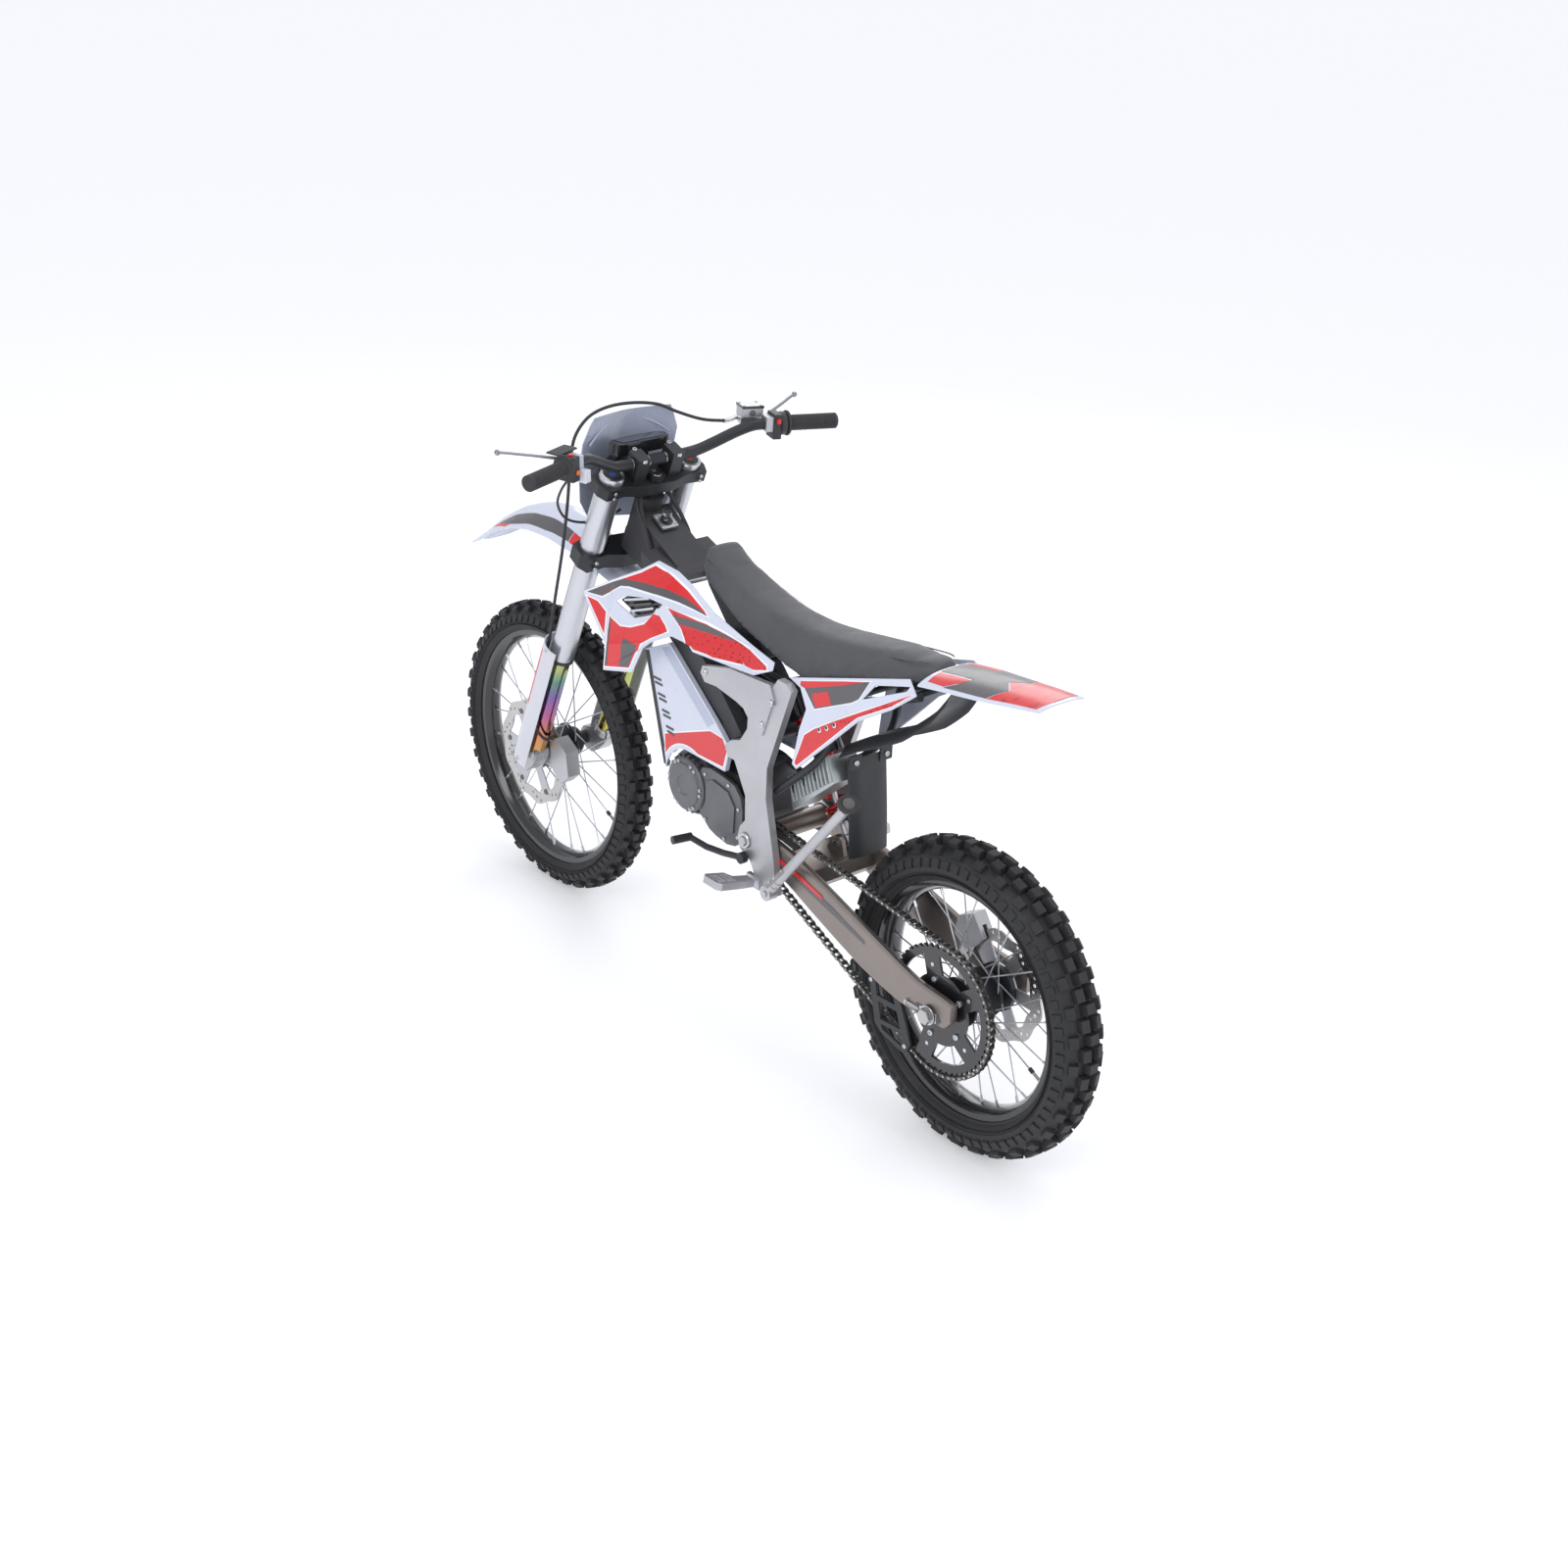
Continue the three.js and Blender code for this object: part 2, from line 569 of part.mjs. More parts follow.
function batteryCover() {
  const rim = [
    [930, 769], [848, 809], [690, 688], [640, 645], [654, 588], [760, 588],
    ...circlePoints(MOTOR.x, MOTOR.z, MOTOR.radius + 4, 5, 1.45, 0.15), [860, 530],
  ];
  const middle = rim.reduce(([x, z], [px, pz]) => [x + px / rim.length, z + pz / rim.length], [0, 0]);
  const pocket = rim.map(([x, z]) => [middle[0] + 0.9 * (x - middle[0]), middle[1] + 0.9 * (z - middle[1])]);
  const slots = Array.from({ length: 8 }, (_, i) => {
    const along = Math.floor(i / 2) * 36 + (i % 2) * 11;
    const [x, z] = [886 - along * 0.42, 716 - along * 0.9];
    return plate([[x - 12, z - 2], [x + 12, z - 2], [x + 12, z + 2], [x - 12, z + 2]], 60, 120);
  });
  return cut(plate(rim, BATTERY_HALF + 10, 100), plate(pocket, BATTERY_HALF, 96.5), ...slots);
}
addPair('battery_cover', batteryCover(), WHITE_PLASTIC);

function motorBody() {
  const drum = disc(MOTOR.x, MOTOR.z, MOTOR.radius, -84, 84, 24);
  const cap = disc(MOTOR.x, MOTOR.z, 60, 84, 112, 20);
  const rightCap = disc(MOTOR.x, MOTOR.z, 60, -100, -84, 20);
  const gearCase = plate([
    [760, 580], [640, 572], [600, 545], [598, 450], [612, 425], [740, 425], [790, 445],
  ], -70, 70);
  const cover = plate([
    [735, 560], [700, 577], [622, 568], [594, 522], [598, 448], [640, 426], [700, 438], [735, 470],
  ], 91, 100);
  const spacer = plate([[735, 560], [706, 572], [680, 545], [680, 452], [700, 440], [735, 470]], 60, 92);
  const shaft = disc(DRIVE.x, DRIVE.z, 10, 60, 88, 16);
  return join(drum, cap, rightCap, gearCase, cover, spacer, shaft);
}
add('motor', motorBody(), BLACK_METAL);
add('controller', plate([[490, 630], [373, 722], [352, 668], [474, 560]], -4, 74), CAST_SILVER);

// ---------------------------------------------------------------- bodywork
const SHROUD_VENT = [
  [948, 166, 884], [920, 160, 903], [856, 148, 915], [822, 140, 911], [846, 146, 882], [896, 156, 861],
];
const shroudBody = () => panel([
  [1042, 182, 880], [975, 155, 921], [917, 122, 955], [896, 96, 974], [840, 88, 966],
  [790, 88, 950], [705, 98, 920], [577, 104, 894], [500, 110, 884], [486, 126, 875], [539, 129, 849],
  [579, 129, 845], [729, 132, 835], [748, 134, 853], [787, 141, 853], [840, 156, 825],
  [858, 163, 807], [889, 166, 744], [983, 172, 719], [968, 178, 785],
], [SHROUD_VENT], 4);
addPair('shroud', shroudBody(), WHITE_PLASTIC);

const sidePanelBody = () => panel([
  [458, 104, 866], [423, 106, 857], [401, 108, 820], [415, 112, 771], [427, 116, 696], [414, 116, 689],
  [322, 112, 777], [252, 106, 847], [170, 98, 898], [116, 90, 942], [143, 84, 966], [300, 97, 917],
], [[[220, 97, 930], [248, 102, 893], [140, 92, 944], [134, 89, 955]]], 4);
addPair('side_panel', sidePanelBody(), WHITE_PLASTIC);

// Seat cross-sections, front to back: x, middle height, edge width and height, skirt width and height.
function seatBody() {
  const stations = [
    [822, 1008, 30, 990, 36, 972], [800, 1026, 44, 992, 50, 956], [740, 990, 46, 970, 66, 936],
    [660, 962, 46, 948, 80, 908], [580, 946, 46, 935, 86, 888], [500, 942, 47, 932, 89, 870],
    [430, 947, 48, 937, 92, 862], [360, 957, 48, 948, 90, 890], [280, 970, 46, 962, 84, 914],
    [200, 983, 42, 975, 68, 938], [150, 990, 32, 984, 44, 958], [130, 988, 20, 984, 28, 970],
  ];
  return skinned(stations.map(([x, top, edge, edgeZ, skirt, skirtZ]) => [
    [x, 0, top], [x, edge * 0.6, top - 2], [x, edge, edgeZ],
    [x, (edge + skirt) / 2 + 3, (edgeZ + skirtZ) / 2],
    [x, skirt, skirtZ], [x, -skirt, skirtZ], [x, -(edge + skirt) / 2 - 3, (edgeZ + skirtZ) / 2],
    [x, -edge, edgeZ], [x, -edge * 0.6, top - 2],
  ]));
}
add('seat', seatBody(), SEAT_VINYL);

function tailFenderBody() {
  const rows = [
    [122, 82, 962, 978], [60, 80, 972, 988], [-20, 74, 982, 997], [-100, 66, 994, 1004],
    [-164, 57, 1003, 1008],
  ].map(([x, half, edgeZ, midZ]) => [
    [x, half, edgeZ], [x, half * 0.62, midZ - 1], [x - 3, 0, midZ + 2],
    [x, -half * 0.62, midZ - 1], [x, -half, edgeZ],
  ]);
  return sheet(rows, new THREE.Vector3(0, 0, -4));
}
add('tail_fender', tailFenderBody(), WHITE_PLASTIC);

function undertailBody() {
  const rows = [[352, 742], [300, 775], [240, 806], [180, 840], [115, 898], [82, 945]].map(([x, z], i) => {
    const half = [60, 62, 60, 56, 50, 46][i];
    return [[x, half, z - 22], [x, half * 0.7, z], [x, -half * 0.7, z], [x, -half, z - 22]];
  });
  return sheet(rows, new THREE.Vector3(0, 0, 4));
}
add('undertail', undertailBody(), BLACK_PLASTIC);

function mudFlapBody() {
  const rows = [[341, 715], [334, 650], [327, 580], [322, 505]].map(([x, z]) => [
    [x + 6, 42, z], [x, 25, z], [x, -41, z], [x + 6, -58, z],
  ]);
  return sheet(rows, new THREE.Vector3(-4, 0, 0));
}
add('mud_flap', mudFlapBody(), RUBBER);

// ---------------------------------------------------------------- steering parts
const CLAMP_RIM = [
  [-22, -40], [-22, 40], [-10, 80], [-14, 128], [10, 138], [46, 134], [56, 100], [48, 60], [44, 0],
  [48, -60], [56, -100], [46, -134], [10, -138], [-14, -128], [-10, -80],
];
const forkHoles = (radius, low, high) =>
  [1, -1].map((side) => post(FORK_AHEAD, side * FORK_HALF_SPACING, radius, low, high, 18));

// Point on the handlebar's middle, in the steering frame.
const barAhead = (BAR_CENTRE.x - STEM_TOP.x) * Math.cos(RAKE) + (BAR_CENTRE.z - STEM_TOP.z) * Math.sin(RAKE);
const barUp = (BAR_CENTRE.z - STEM_TOP.z) * Math.cos(RAKE) - (BAR_CENTRE.x - STEM_TOP.x) * Math.sin(RAKE);

function upperClamp() {
  const yoke = slab(CLAMP_RIM, -31, -5);
  const riser = (y) => block(barAhead - 20, barAhead + 20, y - 15, y + 15, -6, barUp + 20);
  const barRoom = disc(barAhead, barUp, BAR_RADIUS + 0.5, -80, 80, 14);
  const stemHole = post(0, 0, 16.6, -40, 20, 14);
  return cut(join(yoke, riser(45), riser(-45)), ...forkHoles(28.9, -40, 10), barRoom, stemHole);
}
add('upper_clamp', upperClamp(), BLACK_METAL, steering);

function lowerClamp() {
  const yoke = slab(CLAMP_RIM, -222, -186);
  const stem = post(0, 0, 16, -200, 0, 14);
  const nut = post(0, 0, 20, -5 + GAP, 7, 6);
  return join(cut(yoke, ...forkHoles(28.9, -230, -180)), stem, nut);
}
add('lower_clamp', lowerClamp(), BLACK_METAL, steering);

const FORK_TOP = 10;
const TUBE_END = -500;
const forkTube = () => turnedUp([
  [0, FORK_TOP], [28, FORK_TOP], [28, TUBE_END], [23.6, TUBE_END], [23.6, -30], [0, -30],
]);

for (const [name, side] of [['left', 1], ['right', -1]]) {
  add(`fork_tube_${name}`, forkTube(), SATIN_ALUMINIUM, steering, [FORK_AHEAD, side * FORK_HALF_SPACING, 0]);
}

// Sliding leg: stanchion, axle lug and the curved guard in front of it.
function forkLeg() {
  const stanchion = post(0, 0, 22.8, -790, -330, 18);
  const lug = plate([
    [-27, -768], [27, -768], [34, -800], [62, -818], [64, -842], [52, -858], [28, -862], [0, -846],
    [-24, -806],
  ], -19, 19);
  const guardRim = [
    ...circlePoints(0, 0, 47, 7, -0.3, 2.1),
    ...circlePoints(0, 0, 44, 7, 2.1, -0.3),
  ];
  const guard = slab(guardRim, -806, -462);
  const guardFoot = slab([
    ...circlePoints(0, 0, 46, 7, -0.3, 2.1), ...circlePoints(0, 0, 16, 4, 2.1, -0.3),
  ], -806, -784);
  const axleBore = disc(AXLE_AHEAD - FORK_AHEAD, AXLE_DOWN, 10.4, -60, 60, 16);
  return cut(join(stanchion, lug, guard, guardFoot), axleBore);
}
add('fork_leg_left', forkLeg(), SATIN_ALUMINIUM, steering, [FORK_AHEAD, FORK_HALF_SPACING, 0]);
add('fork_leg_right', mirrored(forkLeg()), SATIN_ALUMINIUM, steering, [FORK_AHEAD, -FORK_HALF_SPACING, 0]);

function frontAxle() {
  const head = (low, high) => disc(WHEELBASE, FRONT.radius, 15, low, high, 6);
  const spindle = disc(WHEELBASE, FRONT.radius, 10, -128, 128, 16);
  return join(spindle, head(119.5, 126), head(-126, -119.5));
}
add('front_axle', frontAxle(), STEEL);

function frontCaliper() {
  const body = plate([
    [1240, 345], [1250, 402], [1290, 424], [1314, 408], [1302, 340], [1270, 318],
  ], 46, 80.6);
  const arm = plate([[1296, 414], [1345, 400], [1362, 374], [1300, 348]], 70, 76.5);
  const discSlot = plate(circlePoints(WHEELBASE, FRONT.radius, 132, 40), 59, 69);
  return cut(join(body, arm), discSlot);
}
add('front_caliper', frontCaliper(), CAST_SILVER);

function frontFenderBody() {
  const stations = [
    [1098, 44, 838, 860], [1150, 52, 856, 884], [1226, 58, 878, 915], [1290, 62, 884, 938],
    [1349, 64, 890, 945], [1420, 64, 886, 936], [1500, 60, 866, 908], [1580, 52, 830, 862],
    [1650, 40, 790, 810], [1712, 22, 762, 768],
  ];
  return sheet(stations.map(([x, half, edgeZ, midZ]) => [
    [x, half, edgeZ], [x, half * 0.68, midZ - 5], [x, 0, midZ],
    [x, -half * 0.68, midZ - 5], [x, -half, edgeZ],
  ]), new THREE.Vector3(0, 0, -4));
}
add('front_fender', frontFenderBody(), WHITE_PLASTIC);

function maskBody() {
  const rows = [
    [1220, 100, 1119, 1136], [1167, 124, 1126, 1164], [1100, 122, 1142, 1196],
    [1030, 108, 1158, 1212], [965, 66, 1172, 1205],
  ].map(([z, half, edgeX, midX]) => [
    [edgeX, half, z], [(edgeX + midX * 3) / 4, half * 0.62, z], [midX, 0, z],
    [(edgeX + midX * 3) / 4, -half * 0.62, z], [edgeX, -half, z],
  ]);
  return sheet(rows, new THREE.Vector3(-4, 0, 0));
}
add('headlight_mask', maskBody(), PALE_PLASTIC);

// The lamp stays just behind the mask.
function headlightBody() {
  const lens = rod([1140, 0, 1075], [1196, 0, 1062], 44, 20);
  const shell = rod([1108, 0, 1083], [1142, 0, 1074], 34, 14);
  return cut(join(lens, shell), block(1182, 1300, -100, 100, 960, 1200));
}
add('headlight', headlightBody(), BLACK_PLASTIC);

function dashBody() {
  const rim = [
    [1072, -50], [1078, -68], [1100, -73], [1114, -60], [1118, 0], [1114, 60], [1100, 73],
    [1078, 68], [1072, 50],
  ];
  return join(slab(rim, 1143, 1170), block(1080, 1092, -16, 16, 1124, 1145));
}
add('dash', dashBody(), BLACK_PLASTIC);

function handlebarBody() {
  const tip = BAR_END.clone().lerp(BAR_BEND, 0.04);
  const half = [
    tip.toArray(), BAR_BEND.toArray(), [992, 205, 1184], [1024, 130, 1150],
    [BAR_CENTRE.x, 80, BAR_CENTRE.z],
  ];
  const otherHalf = half.map(([x, y, z]) => [x, -y, z]).reverse();
  return frameTube([...half, ...otherHalf], BAR_RADIUS, 8);
}
add('handlebar', handlebarBody(), BLACK_METAL);

// Grips and controls sit on the straight ends of the bar, measured inward from its end.
const BAR_ROOM = BAR_RADIUS + 0.4;
const onBar = (side, radius, inner, outer, sides = 16) =>
  disc(0, 0, radius, side > 0 ? -outer : inner, side > 0 ? -inner : outer, sides);

function gripBody(side) {
  const sleeve = onBar(side, 17, -1, 118);
  const flange = onBar(side, 27, 112, 118, 20);
  return cut(join(sleeve, flange), onBar(side, BAR_ROOM, 4, 140, 20));
}
add('grip_left', gripBody(1), RUBBER, leftBar);
add('throttle_grip', gripBody(-1), RUBBER, rightBar);

const yAlong = (side, near, far) => (side > 0 ? [-far, -near] : [near, far]);

function leftControl() {
  const housing = block(-19, 19, ...yAlong(1, 119, 142), -30, 22);
  const perch = block(-15, 40, ...yAlong(1, 144, 160), -12, 20);
  const link = block(-8, 8, ...yAlong(1, 140, 146), 13, 19);
  const bracket = block(-34, -14, ...yAlong(1, 140, 158), -34, -6);
  const pivotRoom = block(22, 60, ...yAlong(1, 130, 162), -4, 10);
  return cut(join(housing, perch, link, bracket), pivotRoom, onBar(1, BAR_ROOM, 100, 175, 20));
}
add('left_control', leftControl(), BLACK_PLASTIC, leftBar);

function rightControl() {
  const throttleHousing = onBar(-1, 25, 119, 134, 20);
  const switchBox = block(-20, 20, ...yAlong(-1, 133, 152), -30, 24);
  const clampBlock = block(-17, 40, ...yAlong(-1, 151, 168), -14, 18);
  const reservoir = block(18, 58, ...yAlong(-1, 160, 210), 8, 34);
  const cylinder = block(29, 50, ...yAlong(-1, 150, 208), -8, 10);
  const buttonRoom = block(-26, -8, ...yAlong(-1, 137, 148), 4, 16);
  const pivotRoom = block(22, 70, ...yAlong(-1, 130, 162), -4, 10);
  return cut(join(throttleHousing, switchBox, clampBlock, reservoir, cylinder),
    buttonRoom, pivotRoom, onBar(-1, BAR_ROOM, 100, 240, 20));
}
add('right_control', rightControl(), BLACK_PLASTIC, rightBar);
add('kill_button', block(-27, -15.2, ...yAlong(-1, 138, 147), 5, 15), RED_PLASTIC, rightBar);

// Lever blade from its pivot out past the grip.
function leverBody() {
  const blade = [
    [999, 263, 1192], [1012, 285, 1197], [1024, 320, 1204], [1038, 358, 1211], [1048, 386, 1215],
  ];
  const ball = solid(new THREE.IcosahedronGeometry(7.5, 0).translate(...blade[blade.length - 1]));
  const knuckle = post(blade[0][0], blade[0][1], 6, 1188, 1196.5, 8);
  return join(knuckle, frameTube(blade, 4, 6), ball);
}
addPair('lever', leverBody(), SATIN_ALUMINIUM);

// ---------------------------------------------------------------- foot controls and side stand
function footPeg() {
  const tread = cut(
    slab([
      [503, 137], [531, 137], [532, 175], [552, 182], [554, 230], [546, 238], [504, 238], [496, 230],
      [498, 182],
    ], -8, 8),
    slab([[508, 186], [542, 186], [542, 204], [508, 204]], -20, 20),
    slab([[508, 212], [542, 212], [542, 230], [508, 230]], -20, 20),
  );
  const tilt = new THREE.Matrix4().makeTranslation(0, 137, 404)
    .multiply(new THREE.Matrix4().makeRotationX(THREE.MathUtils.degToRad(13)))
    .multiply(new THREE.Matrix4().makeTranslation(0, -137, 0));
  return moved(tread, tilt);
}
addPair('footpeg', footPeg(), STEEL);

function shiftLever() {
  const arm = frameTube([[552, 130, 441], [610, 132, 428], [660, 138, 424], [704, 148, 432]], 7, 8);
  const boss = disc(552, 441, 12, 124.5, 138, 16);
  const toe = rod([704, 144, 432], [712, 188, 432], 9, 12);
  return join(arm, boss, toe);
}
add('shift_lever', shiftLever(), BLACK_METAL);

function brakePedal() {
  const arm = frameTube([[547, -130, 425], [600, -134, 408], [690, -142, 402], [722, -150, 408]], 7, 8);
  const boss = disc(547, 425, 11, -138, -124.5, 16);
  const pad = block(700, 738, -176, -140, 402, 414);
  return join(arm, boss, pad);
}
add('brake_pedal', brakePedal(), BLACK_METAL);

function kickstand() {
  const boss = disc(462, 400, 16, 121, 143, 16);
  const leg = rod([455, 133, 412], [200, 170, 703], 11, 12);
  const foot = rod([206, 164, 700], [186, 176, 722], 20, 12);
  return cut(join(boss, leg, foot), disc(462, 400, 6.4, 100, 160, 16));
}
add('kickstand', kickstand(), CAST_SILVER);

// ---------------------------------------------------------------- key and cables
function keyBody() {
  const bow = rod([995.4, 0, 1030], [994.2, 0, 1035], 12, 12);
  const shank = rod([998.9, 0, 1015.4], [995.2, 0, 1031], 3, 8);
  return join(bow, shank);
}
add('key', keyBody(), STEEL);

const HOSE_RADIUS = 3.5;
function frontBrakeHose() {
  const legPoint = (angle, reach, down) => {
    const ahead = FORK_AHEAD + reach * Math.cos(angle);
    return [
      STEM_TOP.x + ahead * Math.cos(RAKE) - down * Math.sin(RAKE),
      FORK_HALF_SPACING + reach * Math.sin(angle),
      STEM_TOP.z + ahead * Math.sin(RAKE) + down * Math.cos(RAKE),
    ];
  };
  return hose([
    [1040, -186, 1190], [1068, -150, 1192], [1096, -105, 1208], [1112, -62, 1228], [1130, 0, 1236],
    [1130, 70, 1234], [1122, 118, 1220], [1122, 146, 1186], [1132, 150, 1120], [1148, 146, 1034],
    [1182, 136, 916], [1220, 126, 810], legPoint(0.6, 44, -400), legPoint(0.7, 36, -470),
    legPoint(0.8, 36, -620), legPoint(1.8, 36, -680), legPoint(2.8, 36, -715), [1296, 82, 428],
  ], HOSE_RADIUS, 48);
}
add('front_brake_hose', frontBrakeHose(), RUBBER);
add('clutch_cable', hose([
  [1012, 222, 1162], [1036, 226, 1130], [1066, 220, 1100], [1106, 200, 1056], [1132, 160, 1010],
  [1140, 110, 990], [1136, 60, 990], [1118, 28, 1010],
], 2.8, 26), RUBBER);

export default bike;
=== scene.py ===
"""Looks of the electric off-road motorcycle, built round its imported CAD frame.

Lengths in the shapes are millimetres in the layout that part.mjs uses: x from the rear axle towards
the front, y to the rider's left, z up. P() turns them into metres in the row frame.
"""
import json
from math import acos, atan2, copysign, cos, exp, hypot, pi, radians, sin

import bmesh
import bpy
from mathutils import Matrix, Vector
from mathutils.bvhtree import BVHTree
from mathutils.geometry import tessellate_polygon

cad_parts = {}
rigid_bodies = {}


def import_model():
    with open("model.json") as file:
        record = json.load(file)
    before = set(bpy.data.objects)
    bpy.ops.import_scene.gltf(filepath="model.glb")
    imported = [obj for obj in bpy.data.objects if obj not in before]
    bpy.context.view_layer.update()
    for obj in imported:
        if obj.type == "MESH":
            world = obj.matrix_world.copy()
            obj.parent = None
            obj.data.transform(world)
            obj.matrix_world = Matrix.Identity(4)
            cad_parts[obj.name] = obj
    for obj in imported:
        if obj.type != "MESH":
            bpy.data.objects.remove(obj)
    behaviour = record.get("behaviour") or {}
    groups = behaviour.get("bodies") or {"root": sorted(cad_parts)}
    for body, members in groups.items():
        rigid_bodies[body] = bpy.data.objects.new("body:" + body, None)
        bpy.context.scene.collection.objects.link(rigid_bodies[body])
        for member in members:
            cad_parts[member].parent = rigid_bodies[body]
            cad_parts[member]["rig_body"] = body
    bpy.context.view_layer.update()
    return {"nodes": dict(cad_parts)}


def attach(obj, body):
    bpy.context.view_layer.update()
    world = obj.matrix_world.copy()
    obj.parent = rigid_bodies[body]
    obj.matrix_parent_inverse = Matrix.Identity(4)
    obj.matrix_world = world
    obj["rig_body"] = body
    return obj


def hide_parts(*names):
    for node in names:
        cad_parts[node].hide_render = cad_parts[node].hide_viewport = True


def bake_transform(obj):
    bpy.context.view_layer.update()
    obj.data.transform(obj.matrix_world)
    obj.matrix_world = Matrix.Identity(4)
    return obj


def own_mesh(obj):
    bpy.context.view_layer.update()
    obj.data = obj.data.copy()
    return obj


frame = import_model()

MM = 0.001
TAU = 2 * pi
WELD = 2e-5  # metres: CAD corners closer than this are one corner
SHIFT = 709.5
RAKE = radians(21.5)
STEM_TOP = (1034, 0, 1102)
FORK_AHEAD = 22
FORK_HALF = 100
REAR = dict(x=0, radius=328, half=56, flange=243, rim_half=31)
FRONT = dict(x=1400, radius=347, half=44, flange=280, rim_half=24)
MOTOR = (777, 513)
PIVOT = (557, 476)
DRIVE = (622, 492)
CHAIN_LINE = 81
CHAIN_PITCH = 15.875
REAR_TEETH, DRIVE_TEETH = 52, 13
BAR_CENTRE = (1036, 0, 1138)
BAR_RADIUS = 12.2
GUARD_RADIUS = 46.6
FENDER_THICKNESS = 3.4
SEAT_VOXEL, SEAT_SWELL = 0.006, 0.004  # metres
BATTERY_COVER_FACE = 99.6


def P(x, y, z):
    return Vector(((x - SHIFT) * MM, y * MM, z * MM))


def shifted(by):
    return Matrix.Translation(by)


def turned(angle, axis):
    return Matrix.Rotation(angle, 4, axis)


def axes(x, y, z):
    """The turn that takes the three axes to these directions."""
    return Matrix((x, y, z)).transposed().to_4x4()


# ---------------------------------------------------------------- camera and light
def aim(obj, eye, right, up, ahead):
    turn = axes(right, up, -ahead)
    obj.matrix_world = shifted(eye) @ turn


def add_camera():
    yaw, pitch, roll = (radians(a) for a in (-40.80, -25.16, 2.34))
    ahead = Vector((cos(pitch) * cos(yaw), cos(pitch) * sin(yaw), sin(pitch)))
    right = ahead.cross(Vector((0, 0, 1))).normalized()
    up = right.cross(ahead)
    tilted_right = cos(roll) * right + sin(roll) * up
    tilted_up = cos(roll) * up - sin(roll) * right
    data = bpy.data.cameras.new("camera")
    data.lens, data.sensor_width = 54.72, 36
    data.clip_start, data.clip_end = 0.05, 60
    camera = bpy.data.objects.new("camera", data)
    bpy.context.scene.collection.objects.link(camera)
    aim(camera, Vector((-3.5024, 2.9130, 2.6546)), tilted_right, tilted_up, ahead)
    bpy.context.scene.camera = camera


def add_area(name, at, target, size, power):
    data = bpy.data.lights.new(name, "AREA")
    data.shape, data.size, data.size_y, data.energy = "RECTANGLE", size[0], size[1], power
    light = bpy.data.objects.new(name, data)
    bpy.context.scene.collection.objects.link(light)
    ahead = (Vector(target) - Vector(at)).normalized()
    side = ahead.cross(Vector((0, 0, 1)))
    right = side.normalized() if side.length > 1e-3 else Vector((1, 0, 0))
    aim(light, Vector(at), right, right.cross(ahead), ahead)


def add_studio():
    world = bpy.data.worlds.new("studio")
    world.use_nodes = True
    background = world.node_tree.nodes["Background"]
    background.inputs["Color"].default_value = (0.93, 0.95, 1.0, 1)
    background.inputs["Strength"].default_value = 0.8
    bpy.context.scene.world = world
    add_area("key", (-1.4, 3.6, 3.2), (0, 0, 0.6), (2.6, 1.8), 50)
    add_area("top", (0.3, -0.4, 4.2), (0.1, 0, 0.5), (3.6, 2.4), 30)
    add_area("rim", (2.6, -3.0, 2.4), (0.2, 0, 0.7), (2.2, 1.6), 24)
    add_area("back", (-3.4, -0.8, 1.8), (-0.5, 0, 0.6), (1.6, 1.6), 12)
    bpy.context.scene.view_settings.view_transform = "Standard"


# ---------------------------------------------------------------- materials
class Nodes:
    """A small hand for building one material's nodes."""

    def __init__(self, name):
        self.material = bpy.data.materials.new(name)
        self.material.use_nodes = True
        self.tree = self.material.node_tree
        self.shader = self.tree.nodes["Principled BSDF"]
        self.place = self.tree.nodes.new("ShaderNodeTexCoord").outputs["Object"]

    def node(self, kind, inputs=None, **settings):
        node = self.tree.nodes.new(kind)
        for key, value in settings.items():
            setattr(node, key, value)
        for key, value in (inputs or {}).items():
            if isinstance(value, bpy.types.NodeSocket):
                self.tree.links.new(value, node.inputs[key])
            else:
                node.inputs[key].default_value = value
        return node

    def link(self, source, name):
        self.tree.links.new(source, self.shader.inputs[name])

    def scaled(self, scale):
        return self.node("ShaderNodeMapping", {"Vector": self.place, "Scale": scale}).outputs["Vector"]

    def noise(self, scale, detail=4.0, rough=0.55, stretch=None):
        at = self.scaled(stretch) if stretch else self.place
        return self.node("ShaderNodeTexNoise", {"Vector": at, "Scale": scale, "Detail": detail,
                                                "Roughness": rough}).outputs["Fac"]

    def cells(self, scale, stretch=None, feature="F1"):
        at = self.scaled(stretch) if stretch else self.place
        return self.node("ShaderNodeTexVoronoi", {"Vector": at, "Scale": scale},
                         feature=feature).outputs["Distance"]

    def ramp(self, value, low, high):
        return self.node("ShaderNodeMapRange", {"Value": value, "To Min": low, "To Max": high,
                                                "From Min": 0.25, "From Max": 0.75}).outputs["Result"]

    def mix(self, factor, low, high):
        return self.node("ShaderNodeMix", {0: factor, 6: low, 7: high}, data_type="RGBA").outputs[2]

    def math(self, operation, a, b=0.0):
        return self.node("ShaderNodeMath", {0: a, 1: b}, operation=operation).outputs[0]

    def bump(self, height, strength, distance):
        node = self.node("ShaderNodeBump", {"Height": height, "Strength": strength, "Distance": distance})
        self.tree.links.new(node.outputs["Normal"], self.shader.inputs["Normal"])

    def set(self, **values):
        """Values on the shader's own sockets, with _ for a space in their names."""
        for name, value in values.items():
            self.shader.inputs[name.replace("_", " ")].default_value = value


def shade(color, factor):
    return tuple(min(1.0, c * factor) for c in color[:3]) + (1.0,)


